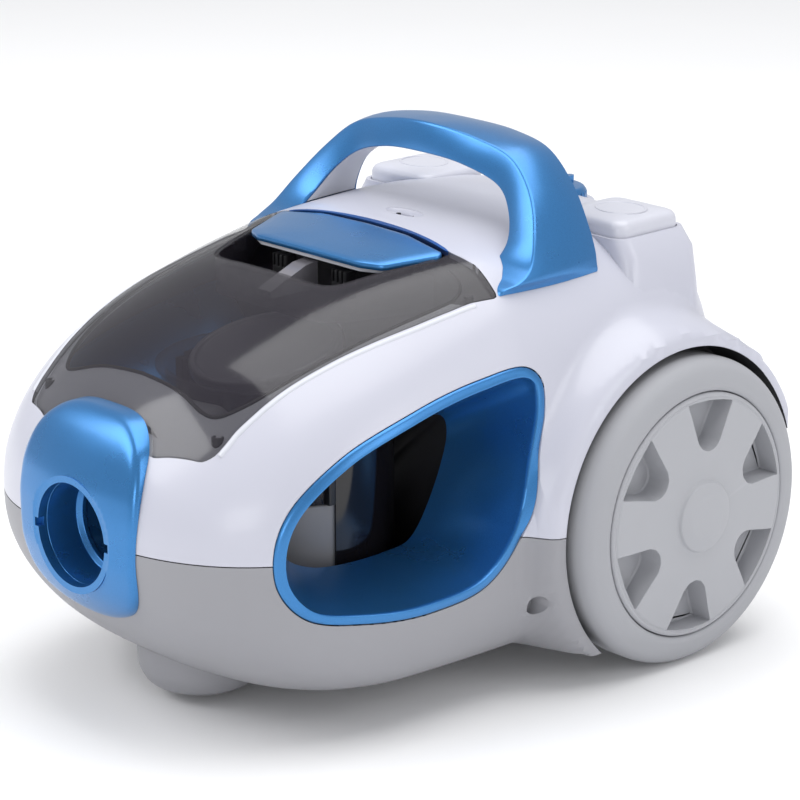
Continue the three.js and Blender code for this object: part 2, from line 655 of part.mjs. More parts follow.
function motorImpeller() {
  const plates = joined(
    ring('y', motorCentre, 5.3, 37, 62, 64),
    ring('y', motorCentre, 5.3, 12, 52, 64),
    ring('y', motorCentre, 20, 37, 52, 54),
  );
  const blades = Array.from({ length: 6 }, (_, i) => {
    const geometry = new THREE.BoxGeometry(24, 10, 1.6);
    geometry.translate(23, 58, 0).rotateY((i / 6) * 2 * Math.PI).translate(MOTOR_X, 0, MOTOR_Z);
    return solid(geometry);
  });
  return plates.add(joined(...blades));
}

function reelDrum() {
  return turned([
    [7, -26], [REEL_RADIUS, -26], [REEL_RADIUS, -23.5], [24, -23.5], [24, 23.5], [REEL_RADIUS, 23.5],
    [REEL_RADIUS, 26], [7, 26],
  ], 'x', [REEL_X, REEL_Y, REEL_Z], 28);
}

function reelBracket() {
  const cheek = (x0, x1) => box(x0, x1, REEL_Y - 9, REEL_Y + 9, 38.4, REEL_Z + 12);
  const pin = rod('x', [0, REEL_Y, REEL_Z], 6.5, REEL_X - 31, REEL_X + 31, 24);
  return joined(cheek(REEL_X - 31, REEL_X - 28), cheek(REEL_X + 28, REEL_X + 31), pin,
    box(REEL_X - 31, REEL_X + 31, REEL_Y - 9, REEL_Y + 9, 38.4, 41.5));
}

const LEVER_PIVOT = [0, 162, 158];

function brakeLever() {
  const arm = box(REEL_X - 5, REEL_X + 5, REEL_Y + 2, 160, 158, 164);
  const hubEnd = rod('x', LEVER_PIVOT, 6, REEL_X - 5, REEL_X + 5, 24);
  const pad = box(REEL_X - 8, REEL_X + 8, REEL_Y - 4, REEL_Y + 10, 156.5, 164);
  return joined(arm, hubEnd, pad).subtract(rod('x', LEVER_PIVOT, 2.6, REEL_X - 20, REEL_X + 20, 16));
}

function leverPin() {
  return rod('x', LEVER_PIVOT, 2.3, REEL_X - 9, REEL_X + 9, 16);
}

function exhaustGrille() {
  const panel = outerBody.subtract(innerBody).intersect(slab(grillePlan, 'y', 150, FAR));
  const slats = Array.from({ length: 4 }, (_, i) => box(-42, 42, 150, 220, 107 + i * 9, 112 + i * 9));
  return panel.subtract(joined(...slats));
}

// ---------- pedals and dial ----------
function pedal(side) {
  const rise = (inset, z) => towerPlan(side, 2.5 + inset).map(([x, y]) => [x, y, z]);
  const cap = skinned([rise(0, 209), rise(0, PEDAL_TOP_Z - 4.5), rise(1.5, PEDAL_TOP_Z - 2), rise(5, PEDAL_TOP_Z)]);
  const hollow = slab(towerPlan(side, 5), 'z', 200, 214);
  return cap.subtract(hollow);
}

function pedalSpring(side) {
  return coil([side * 73.5, 116.5], 7, 0.8, PEDAL_FLOOR_Z + 0.3, 213.7, 4);
}

function powerDial() {
  const knob = turned([
    [0, DIAL_FLOOR_Z + 0.6], [DIAL_RADIUS, DIAL_FLOOR_Z + 0.6], [DIAL_RADIUS, DIAL_FLOOR_Z + 5.5],
    [DIAL_RADIUS - 2, DIAL_FLOOR_Z + 8.2], [0, DIAL_FLOOR_Z + 9],
  ], 'z', [0, DIAL_Y, 0], 36);
  const grip = box(-2, 2, DIAL_Y - 16, DIAL_Y + 16, DIAL_FLOOR_Z + 3, DIAL_FLOOR_Z + 11.5);
  return joined(knob, grip, rod('z', [0, DIAL_Y, 0], 3, 201, 216, 20));
}

// ---------- wheels ----------
function wheelTyre(side) {
  const profile = [
    [HUB_RADIUS + 0.3, 115], [72, 115], [78, 117.5], [WHEEL_RADIUS, 123], [WHEEL_RADIUS, 138], [78.5, 144.5],
    [72, 147.8], [67, 148.3], [HUB_RADIUS + 0.3, 147.5],
  ];
  return turned(profile.map(([r, x]) => [r, side * x]), 'x', wheelCentre, 32);
}

function wheelHub(side) {
  const profile = [
    [AXLE_RADIUS + 0.4, 112], [13, 112], [15, 133], [57, 130], [57, 116], [HUB_RADIUS, 116], [HUB_RADIUS, 147.5],
    [62.5, HUB_FACE_X], [21, 151], [18.8, 151.5], [18.8, 154.5], [0, 155.5], [0, 151], [AXLE_RADIUS + 0.4, 151],
  ];
  const disc = turned(profile.map(([r, x]) => [r, side * x]), 'x', wheelCentre, 32);
  const pocket = [[58, -17], [58, 17], [44, 11], [34, 0], [44, -11]];
  const cuts = Array.from({ length: 6 }, (_, i) => {
    const turn = THREE.MathUtils.degToRad(84 - 60 * i);
    const outline = pocket.map(([r, w]) => [
      WHEEL_Y + r * Math.cos(turn) - w * Math.sin(turn), WHEEL_Z + r * Math.sin(turn) + w * Math.cos(turn)]);
    return slab(outline, 'x', ...onSide(side, 137, 170));
  });
  return disc.subtract(joined(...cuts));
}

function wheelAxle(side) {
  return rod('x', wheelCentre, AXLE_RADIUS, ...onSide(side, 82, 150.6), 32);
}

function axleClip(side) {
  return ring('x', wheelCentre, AXLE_RADIUS + 0.2, 10, ...onSide(side, 84.5, 87.6), 24);
}

function casterCup() {
  const cup = turned([
    [0, 3.5], [20, 4], [28, 8], [32, 15], [CASTER_RADIUS, CASTER_TOP_Z], [5, CASTER_TOP_Z], [5, 48], [0, 48],
  ], 'z', [0, CASTER_Y, 0], 24);
  const slot = box(-9, 9, CASTER_WHEEL_Y - 9.5, CASTER_WHEEL_Y + 9.5, -5, 17);
  const pin = rod('x', [0, CASTER_WHEEL_Y, CASTER_WHEEL_RADIUS], 2.2, -14, 14, 16);
  return cup.subtract(slot).subtract(pin);
}

function casterWheel() {
  const r = CASTER_WHEEL_RADIUS;
  return turned([[2.3, -8], [r - 1.5, -8], [r, -6], [r, 6], [r - 1.5, 8], [2.3, 8]], 'x',
    [0, CASTER_WHEEL_Y, r], 28);
}

function baseScrew([x, y]) {
  return turned([[0, 15], [4.5, 15], [4.5, 17.8], [2, 17.8], [2, 35], [0, 36.3]], 'z', [x, y, 0], 12);
}

// ---------- assembly ----------
const COLOURS = {
  white: 0xdfe1e8, grey: 0x9a9ca0, blue: 0x3f86c6, smoke: 0x33303a, black: 0x1b1c1f, steel: 0xb8babd,
  light: 0xc9cacc, foam: 0x55585c, green: 0x2f6b45, motor: 0x8d8f92,
};

const vacuum = new THREE.Group();
vacuum.name = 'canister_vacuum';

function add(name, colour, part) {
  const { vertProperties, triVerts } = part.getMesh();
  const geometry = new THREE.BufferGeometry();
  geometry.setAttribute('position', new THREE.BufferAttribute(new Float32Array(vertProperties), 3));
  geometry.setIndex(Array.from(triVerts));
  const flat = geometry.toNonIndexed();
  flat.computeVertexNormals();
  const mesh = new THREE.Mesh(flat, new THREE.MeshStandardMaterial({ color: COLOURS[colour] }));
  mesh.name = name;
  vacuum.add(mesh);
}

add('lower_base', 'grey', lowerBase());
add('upper_body', 'white', upperBody());
add('window_frame_right', 'blue', windowFrame(1));
add('window_frame_left', 'blue', windowFrame(-1));
add('hose_bezel', 'blue', hoseBezel());
add('inlet_duct', 'black', inletDuct());
add('inlet_seal', 'black', ring('y', [0, 0, PORT_Z], DUCT_RADIUS, DUCT_OUTER, DUCT_BACK_Y + GAP, DUCT_BACK_Y + 4));
add('carry_handle', 'blue', carryHandle());
add('handle_underside', 'white', handleUnderside());
add('lid_canopy', 'smoke', lidCanopy());
add('canopy_seal', 'black', canopySeal());
add('latch_tray', 'black', latchTray());
add('latch_flap', 'blue', latchFlap());
add('latch_pin', 'steel', latchPin());
add('bin_cup', 'smoke', binCup());
add('bin_floor', 'light', binFloor());
add('bin_throat', 'light', binThroat());
add('cyclone_shroud', 'grey', cycloneShroud());
add('cyclone_cap', 'black', cycloneCap());
add('bulkhead', 'grey', bulkhead());
add('motor_filter', 'foam', rod('y', motorCentre, 42, 25, 34));
add('motor_mount_front', 'black', ring('y', motorCentre, MOTOR_RADIUS + 0.3, MOTOR_RADIUS + 4.6, 42, 50));
add('motor_mount_rear', 'black', ring('y', motorCentre, 34.3, MOTOR_RADIUS + 4.6, 110, 118));
add('motor_housing', 'motor', motorHousing());
add('motor_impeller', 'steel', motorImpeller());
add('motor_shaft', 'steel', rod('y', motorCentre, 5, 48, 117.5, 20));
add('exhaust_filter', 'foam', box(-48, 48, 160, 172, 102, 144));
add('exhaust_grille', 'grey', exhaustGrille());
add('reel_drum', 'grey', reelDrum());
add('reel_bracket', 'steel', reelBracket());
add('reel_brake_lever', 'black', brakeLever());
add('brake_lever_pin', 'steel', leverPin());
add('cord_grommet', 'black', turned([
  [5, 172], [7.6, 172], [7.6, 184.5], [5, 184.5],
], 'y', [REEL_X, 0, 62], 24));
add('control_board', 'green', box(-26, 26, 96, 150, 196, 198));
add('power_switch', 'black', box(-82, -66, 108, 124, 182, 195));
add('power_pedal', 'white', pedal(-1));
add('rewind_pedal', 'white', pedal(1));
add('power_pedal_spring', 'steel', pedalSpring(-1));
add('rewind_pedal_spring', 'steel', pedalSpring(1));
add('power_dial', 'blue', powerDial());
for (const [label, side] of [['right', 1], ['left', -1]]) {
  add(`wheel_tyre_${label}`, 'grey', wheelTyre(side));
  add(`wheel_hub_${label}`, 'light', wheelHub(side));
  add(`wheel_axle_${label}`, 'steel', wheelAxle(side));
  add(`axle_clip_${label}`, 'steel', axleClip(side));
}
add('caster_cup', 'grey', casterCup());
add('caster_wheel', 'black', casterWheel());
add('caster_axle', 'steel', rod('x', [0, CASTER_WHEEL_Y, CASTER_WHEEL_RADIUS], 1.9, -13.5, 13.5, 16));
SCREWS.forEach((place, i) => add(`base_screw_${i + 1}`, 'steel', baseScrew(place)));

export default vacuum;
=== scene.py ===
"""Looks for the canister vacuum cleaner: detailed pieces, materials, soft studio light and the camera."""
import math

import bmesh
import bpy
import numpy as np
from mathutils import Matrix, Vector


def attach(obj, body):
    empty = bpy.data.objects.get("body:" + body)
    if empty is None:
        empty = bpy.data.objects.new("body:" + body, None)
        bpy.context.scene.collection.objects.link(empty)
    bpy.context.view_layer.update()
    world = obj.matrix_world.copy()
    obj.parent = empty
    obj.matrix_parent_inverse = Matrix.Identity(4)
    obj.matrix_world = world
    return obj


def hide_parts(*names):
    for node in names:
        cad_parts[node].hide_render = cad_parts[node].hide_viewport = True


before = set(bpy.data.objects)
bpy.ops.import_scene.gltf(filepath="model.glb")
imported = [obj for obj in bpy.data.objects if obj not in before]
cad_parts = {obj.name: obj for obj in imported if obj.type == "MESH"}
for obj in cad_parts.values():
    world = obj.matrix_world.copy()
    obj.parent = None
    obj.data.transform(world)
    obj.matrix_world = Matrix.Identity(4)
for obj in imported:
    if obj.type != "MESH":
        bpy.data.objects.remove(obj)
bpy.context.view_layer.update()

MM = 0.001

# ---------- sizes in millimetres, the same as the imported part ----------
NOSE_Y, TAIL_Y = -183.0, 186.0
MIDDLE_Y = (NOSE_Y + TAIL_Y) / 2
HALF_WIDTH = 124.0
CENTRE_Z = 110.0
WHEEL_Y, WHEEL_Z, WHEEL_RADIUS = 104.0, 81.3, 81.3
WELL_RADIUS, WELL_FACE_X = 86.0, 108.0
FENDER_RADIUS, FENDER_X = 91.5, 137.0
HUB_RADIUS = 64.3
PORT_Z, PORT_RADIUS = 102.0, 26.0
BIN_Y, BIN_RADIUS, BIN_FLOOR_Z, BIN_SPLIT_Z, BIN_TOP_Z = -52.0, 58.0, 60.0, 104.0, 160.0
CASTER_Y, CASTER_RADIUS, CASTER_TOP_Z = -104.0, 33.0, 31.0
PEDAL_FLOOR_Z, PEDAL_SEAM_Z, PEDAL_TOP_Z = 203.0, 217.5, 227.0
DIAL_Y, DIAL_RADIUS, DIAL_FLOOR_Z = 146.0, 19.0, 214.0
CAP_CENTRE, CAP_RADIUS, CAP_TILT = (0, -57.5, 165), 39.5, 14.0
PEDAL_X, PEDAL_Y = 72.0, 121.0
ROLLER_Y, ROLLER_Z = -94.0, 7.5
HINGE_Y, HINGE_Z = 5.0, 217.0
DRAIN_CENTRE = (8.0, 51.0)
HANDLE_TOP_Z = 270.9
# Levels that cutting tools start from or end at.
LID_LOW_Z, DECK_LOW_Z, ABOVE_Z = 138.0, 190.0, 260.0
FAR = 400.0
COARSE = (90, 120)


# ---------- curves of the body ----------
def curve(points):
    """Smooth curve through (x, y) points that never overshoots them."""
    x, y = np.array(points, float).T
    width = np.diff(x)
    slope = np.diff(y) / width
    tangent = np.zeros(len(x))
    tangent[0], tangent[-1] = slope[0], slope[-1]
    for i in range(1, len(x) - 1):
        if slope[i - 1] * slope[i] > 0:
            before, after = 2 * width[i] + width[i - 1], width[i] + 2 * width[i - 1]
            tangent[i] = (before + after) / (before / slope[i - 1] + after / slope[i])

    def value(at):
        at = np.clip(np.asarray(at, float), x[0], x[-1])
        i = np.clip(np.searchsorted(x, at) - 1, 0, len(x) - 2)
        s = (at - x[i]) / width[i]
        ends = (1 + 2 * s) * (1 - s) ** 2 * y[i] + s * s * (3 - 2 * s) * y[i + 1]
        return ends + s * (1 - s) * width[i] * ((1 - s) * tangent[i] - s * tangent[i + 1])
    return value


top_height = curve([
    (-183, 102.7), (-181.5, 117), (-178, 131), (-172, 144), (-165, 152.5), (-155, 163), (-145, 172),
    (-121, 188), (-95, 200), (-60, 212), (-25, 219), (10, 223), (40, 225.5), (75, 227), (105, 226),
    (130, 224), (150, 218), (165, 203), (175, 180), (183, 150), (186, 84)])
bottom_height = curve([
    (-183, 102.7), (-181.5, 90), (-178, 77), (-172, 65), (-165, 54), (-155, 43), (-145, 35), (-130, 25.5),
    (-110, 18), (-90, 15), (-60, 14), (130, 14), (153, 20), (172, 34), (182, 58), (186, 83)])
top_squareness = curve([
    (-183, 2.2), (-165, 2.35), (-145, 2.42), (-121, 2.55), (-95, 2.65), (-60, 2.75), (-25, 3), (10, 3.4)])
bottom_squareness = curve([
    (-183, 2.3), (-147, 2.5), (-120, 3.1), (-95, 3.8), (-60, 4.4), (0, 4.6), (186, 4)])


def half_width(y):
    front = np.clip((-40 - y) / (-40 - NOSE_Y), 0, 1)
    rear = np.clip((y - 90) / (TAIL_Y - 90), 0, 1)
    return HALF_WIDTH * (1 - front ** 2.7) ** (1 / 2.7) * (1 - rear ** 3.2) ** (1 / 3.2)


def seam_height(y):
    return 102.7 - 0.1 * np.clip(y + 140, 0, 190)


def ease(t):
    s = np.clip(t, 0, 1)
    return s * s * (3 - 2 * s)


def fender_x(x, y, z):
    """The body side swells out to the fender around each rear wheel."""
    radius = np.hypot(y - WHEEL_Y, z - WHEEL_Z)
    reach = 106 - 7 * np.clip((y - 90) / 60, 0, 1)
    near = ease((reach - radius) / (reach - FENDER_RADIUS)) * ease((np.abs(x) - 70) / 30)
    return x + np.sign(x) * near * np.maximum(0, FENDER_X - np.abs(x))


def top_z(x, y, inset=0.0):
    """Height of the upper surface over a point of the plan."""
    seam, power = seam_height(y), top_squareness(y)
    across = np.clip(np.abs(x) / np.maximum(half_width(y), 1e-6), 0, 1)
    return seam + (top_height(y) - seam) * (1 - across ** power) ** (1 / power) - inset


def side_x(y, z):
    """Half width of the body at a point of its side view."""
    seam = seam_height(y)
    upper = z >= seam
    height = np.where(upper, top_height(y) - seam, seam - bottom_height(y))
    power = np.where(upper, top_squareness(y), bottom_squareness(y))
    level = np.clip(np.abs(z - seam) / np.maximum(height, 1e-6), 0, 1)
    return fender_x(half_width(y) * (1 - level ** power) ** (1 / power), y, z)


def drawn_in(points, inset):
    """Body points moved towards the middle of the body by a wall thickness."""
    x, y, z = points.T
    reach = np.where(z > CENTRE_Z, 117.0, 96.0)
    half_length = TAIL_Y - MIDDLE_Y
    return np.stack([
        x * (HALF_WIDTH - inset) / HALF_WIDTH,
        MIDDLE_Y + (y - MIDDLE_Y) * (half_length - inset) / half_length,
        CENTRE_Z + (z - CENTRE_Z) * (reach - inset) / reach], 1)


def body_rings(inset=0.0, stations=150, sides=180):
    """Cross-sections of the body from nose to tail, drawn in by a wall thickness."""
    rings = []
    angle = np.arange(sides) / sides * 2 * math.pi
    across, up = np.cos(angle), np.sin(angle)
    for i in range(stations + 1):
        t = min(max(i / stations, 0.004), 0.996)
        y = MIDDLE_Y - (TAIL_Y - MIDDLE_Y) * math.cos(math.pi * t)
        seam = float(seam_height(y))
        height = np.where(up >= 0, top_height(y) - seam, seam - bottom_height(y))
        power = 2 / np.where(up >= 0, top_squareness(y), bottom_squareness(y))
        x = np.sign(across) * half_width(y) * np.abs(across) ** power
        z = seam + np.sign(up) * height * np.abs(up) ** power
        ring = np.stack([fender_x(x, y, z), np.full(sides, y), z], 1)
        rings.append(drawn_in(ring, inset))
    return rings


# ---------- outlines ----------
def fine_line(points, steps, closed=False):
    """Centripetal Catmull-Rom curve through points, with a number of steps in each span."""
    p = np.array(points, float)
    n = len(p)
    fine = []
    for i in range(n if closed else n - 1):
        if closed:
            a, b, c, d = (p[(i + k) % n] for k in (-1, 0, 1, 2))
        else:
            b, c = p[i], p[i + 1]
            a = p[i - 1] if i > 0 else 2 * b - c
            d = p[i + 2] if i + 2 < n else 2 * c - b
        fine.append(_span(a, b, c, d, steps))
    return np.concatenate(fine + ([fine[0][:1]] if closed else [p[-1:]]))


def smooth_line(points, count, closed=True):
    """The same curve as evenly spaced points."""
    fine = fine_line(points, 24, closed)
    along = np.concatenate([[0], np.cumsum(np.linalg.norm(np.diff(fine, axis=0), axis=1))])
    stops = np.linspace(0, along[-1], count + 1 if closed else count)
    line = np.stack([np.interp(stops, along, fine[:, k]) for k in range(fine.shape[1])], 1)
    return line[:-1] if closed else line


def _span(a, b, c, d, steps):
    ta, tb, tc = (max(np.linalg.norm(v), 1e-9) ** 0.5 for v in (b - a, c - b, d - c))
    start = ((b - a) / ta - (c - a) / (ta + tb) + (c - b) / tb) * tb
    end = ((c - b) / tb - (d - b) / (tb + tc) + (d - c) / tc) * tb
    s = np.linspace(0, 1, steps, endpoint=False)[:, None]
    return ((2 * s ** 3 - 3 * s ** 2 + 1) * b + (s ** 3 - 2 * s ** 2 + s) * start
            + (3 * s ** 2 - 2 * s ** 3) * c + (s ** 3 - s ** 2) * end)


def grown(outline, distance):
    """Outline moved outwards (inwards for a negative distance) along its normals."""
    p = np.asarray(outline, float)
    q = np.roll(p, -1, 0)
    area = np.sum(p[:, 0] * q[:, 1] - q[:, 0] * p[:, 1])
    along = q - np.roll(p, 1, 0)
    along /= np.linalg.norm(along, axis=1)[:, None]
    return p + np.stack([along[:, 1], -along[:, 0]], 1) * math.copysign(distance, distance * area)


def mirrored_plan(half):
    """A whole outline from its right half, whose first and last points lie on the middle line."""
    half = [tuple(p) for p in half]
    return half + [(-x, y) for x, y in reversed(half[1:-1])]


def rounded_box(x0, x1, y0, y1, radius, steps=8):
    """Outline of a box with round corners."""
    points = []
    for x, y, quarter in ((x1, y1, 0), (x0, y1, 1), (x0, y0, 2), (x1, y0, 3)):
        cx = x - math.copysign(radius, x - (x0 + x1) / 2)
        cy = y - math.copysign(radius, y - (y0 + y1) / 2)
        for i in range(steps + 1):
            angle = (quarter + i / steps) * math.pi / 2
            points.append((cx + radius * math.cos(angle), cy + radius * math.sin(angle)))
    return np.array(points)


WINDOW = smooth_line([
    (10, 172), (18, 165), (18, 151), (12, 131), (0, 90), (-23, 69), (-60, 64), (-100, 67), (-128, 73.5),
    (-141, 90), (-142, 112), (-133, 130), (-105, 150), (-60, 164), (-20, 171)], 200)
WINDOW_INNER = smooth_line([
    (-2, 139), (2, 128), (-22, 80), (-40, 76), (-90, 80), (-107, 91), (-98, 110), (-79, 123),
    (-46, 136)], 200)
LID_HALF = [
    (0, -168), (42, -165), (49, -162), (59.5, -158), (66, -155.5), (70, -151), (71.4, -145), (71.8, -140),
    (73.8, -131), (77, -113), (80.3, -95.5), (84.7, -68.7), (88.5, -39.5), (91.7, -5.5), (95.2, 9.8),
    (76, 13.5), (60, 11), (30, 16), (0, 18)]
SCOOP_HALF = [(0, -60), (30, -60), (42, -57), (48, -50), (58, -14), (60, 4), (0, 4)]
FLAP_HALF = [(0, -33), (38, -31), (50, -25), (61, 3), (60, 6.5), (30, 9.5), (0, 10.5)]
GRILLE = rounded_box(-52, 52, 100, 146, 10)


def tower_plan(side, inset=0.0):
    plan = rounded_box(46 + inset, 98 - inset, 95 + inset, 147 - inset, 9 - inset / 2)
    return plan * (side, 1)


# ---------- meshes ----------
def new_object(name, verts, faces, smooth=True):
    mesh = bpy.data.meshes.new(name)
    mesh.from_pydata([tuple(v) for v in np.asarray(verts) * MM], [], [tuple(f) for f in faces])
    mesh.validate()
    bm = bmesh.new()
    bm.from_mesh(mesh)
    bmesh.ops.remove_doubles(bm, verts=bm.verts, dist=1e-6)
    bmesh.ops.recalc_face_normals(bm, faces=bm.faces)
    bm.to_mesh(mesh)
    bm.free()
    obj = bpy.data.objects.new(name, mesh)
    bpy.context.scene.collection.objects.link(obj)
    if smooth:
        mesh.shade_smooth()
    return obj


def loft(name, rings, caps=True):
    """Skin over rings of points; caps close the two ends."""
    rings = [np.asarray(r, float) for r in rings]
    sides = len(rings[0])
    faces = []
    for r in range(len(rings) - 1):
        for s in range(sides):
            a, b = r * sides + s, r * sides + (s + 1) % sides
            faces.append((a, b, b + sides, a + sides))
    if caps:
        faces.append(tuple(reversed(range(sides))))
        faces.append(tuple(range((len(rings) - 1) * sides, len(rings) * sides)))
    return new_object(name, np.concatenate(rings), faces)


def body_solid(inset=0.0, *counts):
    return loft("body_solid", body_rings(inset, *counts))


AXES = {"x": (2, 0, 1), "y": (0, 2, 1), "z": (0, 1, 2)}


def placed(outline, axis, level):
    """Outline points in the plane across an axis: (y, z), (x, z) or (x, y)."""
    outline = np.asarray(outline, float)
    flat = np.column_stack([outline, np.broadcast_to(level, len(outline))])
    return flat[:, AXES[axis]]


def prism(name, outline, axis, low, high):
    return loft(name, [placed(outline, axis, low), placed(outline, axis, high)])


def turned(name, profile, axis, centre, sides=96):
    """Turned piece from a closed profile of (radius, distance along the axis)."""
    angle = np.arange(sides) / sides * 2 * math.pi
    rings = []
    for radius, along in profile:
        outline = np.stack([radius * np.cos(angle), radius * np.sin(angle)], 1)
        rings.append(placed(outline, axis, along) + np.asarray(centre, float))
    return loft(name, rings + [rings[0]], caps=False)


def rounded_ring(points, radius, steps=4, sharp_axis=False):
    """Closed ring of points, in two or three dimensions, with rounded corners."""
    p = np.array(points, float)
    result = []
    for i in range(len(p)):
        before, here, after = p[i - 1], p[i], p[(i + 1) % len(p)]
        if sharp_axis and here[0] <= 0:
            result.append(here)
            continue
        to_a, to_b = before - here, after - here
        la, lb = np.linalg.norm(to_a), np.linalg.norm(to_b)
        cut_back = min(radius, la * 0.45, lb * 0.45)
        a, b = here + to_a / la * cut_back, here + to_b / lb * cut_back
        for k in range(steps + 1):
            t = k / steps
            result.append((1 - t) ** 2 * a + 2 * t * (1 - t) * here + t * t * b)
    return np.array(result)


def softened(profile, radius=0.8, steps=3):
    """Profile of a turned piece with its corners rounded, except on the axis."""
    return rounded_ring(profile, radius, steps, sharp_axis=True)


def apply_modifiers(obj):
    bpy.context.view_layer.update()
    graph = bpy.context.evaluated_depsgraph_get()
    mesh = bpy.data.meshes.new_from_object(obj.evaluated_get(graph))
    obj.modifiers.clear()
    obj.data = mesh
    return obj


def combine(obj, other, operation, keep=False):
    """Joins, cuts or intersects two closed pieces."""
    modifier = obj.modifiers.new("combine", "BOOLEAN")
    modifier.operation = operation
    modifier.solver = "MANIFOLD"
    modifier.object = other
    apply_modifiers(obj)
    if not keep:
        bpy.data.objects.remove(other)
    return obj


def cut(obj, other, keep=False):
    return combine(obj, other, "DIFFERENCE", keep)


def overlap(obj, other, keep=False):
    return combine(obj, other, "INTERSECT", keep)


def join(obj, other, keep=False):
    return combine(obj, other, "UNION", keep)


def copy_of(obj, name):
    twin = bpy.data.objects.new(name, obj.data.copy())
    bpy.context.scene.collection.objects.link(twin)
    return twin


def dress(obj, material, sharp=35):
    """Smooth shading that stays sharp at steep corners, and one material."""
    obj.data.shade_smooth()
    obj.data.set_sharp_from_angle(angle=math.radians(sharp))
    obj.data.materials.clear()
    obj.data.materials.append(material)


def finish_piece(obj, material, body, replaced=(), sharp=35):
    """Dresses a piece, hands it to the body it moves with and hides the nodes it stands for."""
    dress(obj, material, sharp)
    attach(obj, body)
    if replaced:
        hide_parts(*replaced)
    return obj


# ---------- materials ----------
def linear(red, green, blue):
    def channel(c):
        c /= 255
        return c / 12.92 if c <= 0.04045 else ((c + 0.055) / 1.055) ** 2.4
    return (channel(red), channel(green), channel(blue), 1.0)


class Nodes:
    """Short calls for building one material's node tree."""

    def __init__(self, name):
        self.material = bpy.data.materials.new(name)
        self.material.use_nodes = True
        self.tree = self.material.node_tree
        self.shader = self.tree.nodes["Principled BSDF"]
        self.coords = self.add("ShaderNodeTexCoord").outputs["Object"]

    def add(self, kind, **settings):
        node = self.tree.nodes.new(kind)
        for key, value in settings.items():
            setattr(node, key, value)
        return node

    def link(self, output, socket):
        self.tree.links.new(output, socket)

    def noise(self, scale, detail=3.0, roughness=0.55):
        node = self.add("ShaderNodeTexNoise")
        node.inputs["Scale"].default_value = scale
        node.inputs["Detail"].default_value = detail
        node.inputs["Roughness"].default_value = roughness
        self.link(self.coords, node.inputs["Vector"])
        return node.outputs["Fac"]

    def constants(self, values):
        for socket, value in values.items():
            self.shader.inputs[socket].default_value = value

    def ranged(self, value, low, high, from_low=0.3, from_high=0.7):
        node = self.add("ShaderNodeMapRange")
        limits = {"From Min": from_low, "From Max": from_high, "To Min": low, "To Max": high}
        for key, number in limits.items():
            node.inputs[key].default_value = number
        self.link(value, node.inputs["Value"])
        return node.outputs["Result"]

    def mixed(self, factor, first, second):
        node = self.add("ShaderNodeMix", data_type="RGBA")
        self.link(factor, node.inputs["Factor"])
        for socket, value in ((node.inputs[6], first), (node.inputs[7], second)):
            if hasattr(value, "is_linked"):
                self.link(value, socket)
            else:
                socket.default_value = value
        return node.outputs[2]

    def bump(self, height, strength, distance, edge_radius=0.0):
        node = self.add("ShaderNodeBump")
        node.inputs["Strength"].default_value = strength
        node.inputs["Distance"].default_value = distance
        self.link(height, node.inputs["Height"])
        if edge_radius:
            edge = self.add("ShaderNodeBevel", samples=4)
            edge.inputs["Radius"].default_value = edge_radius
            self.link(edge.outputs["Normal"], node.inputs["Normal"])
        self.link(node.outputs["Normal"], self.shader.inputs["Normal"])


def shade(colour, amount):
    return tuple(min(1.0, c * amount) for c in colour[:3]) + (1.0,)


def plastic(name, colour, roughness=0.4, spread=0.06, grain=900.0, grain_depth=0.00004,
            grain_strength=0.25, metallic=0.0, coat=0.0, coat_roughness=0.1, alpha=1.0,
            edge=0.0006, wear=0.06):
    """Moulded plastic: mottled colour, uneven gloss, fine surface grain and lighter worn edges."""
    n = Nodes(name)
    mottle = n.ranged(n.noise(9.0, 4.0), 0.0, 1.0)
    base = n.mixed(mottle, shade(colour, 1 - wear / 2), shade(colour, 1 + wear / 2))
    geometry = n.add("ShaderNodeNewGeometry")
    worn = n.ranged(geometry.outputs["Pointiness"], 0.0, 0.35, 0.52, 0.6)
    n.link(n.mixed(worn, base, shade(colour, 1.12)), n.shader.inputs["Base Color"])
    smudge = n.noise(23.0, 5.0, 0.6)
    n.link(n.ranged(smudge, roughness - spread, roughness + spread), n.shader.inputs["Roughness"])
    n.bump(n.noise(grain, 2.0), grain_strength, grain_depth, edge)
    n.constants({"Metallic": metallic, "Coat Weight": coat, "Coat Roughness": coat_roughness, "Alpha": alpha})
    return n.material


def metallic_paint(name, colour, roughness=0.34):
    """Satin metallic lacquer: fine flake under a thin clear coat."""
    n = Nodes(name)
    flake = n.add("ShaderNodeTexVoronoi")
    flake.inputs["Scale"].default_value = 2600.0
    n.link(n.coords, flake.inputs["Vector"])
    sparkle = n.ranged(flake.outputs["Distance"], 0.0, 1.0, 0.1, 0.7)
    base = n.mixed(sparkle, shade(colour, 1.1), shade(colour, 0.9))
    tone = n.ranged(n.noise(7.0, 3.0), 0.0, 0.35)
    n.link(n.mixed(tone, base, shade(colour, 0.93)), n.shader.inputs["Base Color"])
    gloss = n.ranged(n.noise(31.0, 4.0), roughness - 0.04, roughness + 0.04)
    n.link(gloss, n.shader.inputs["Roughness"])
    n.bump(flake.outputs["Distance"], 0.08, 0.00004)
    n.constants({"Metallic": 0.72, "Coat Weight": 0.35, "Coat Roughness": 0.22})
    return n.material


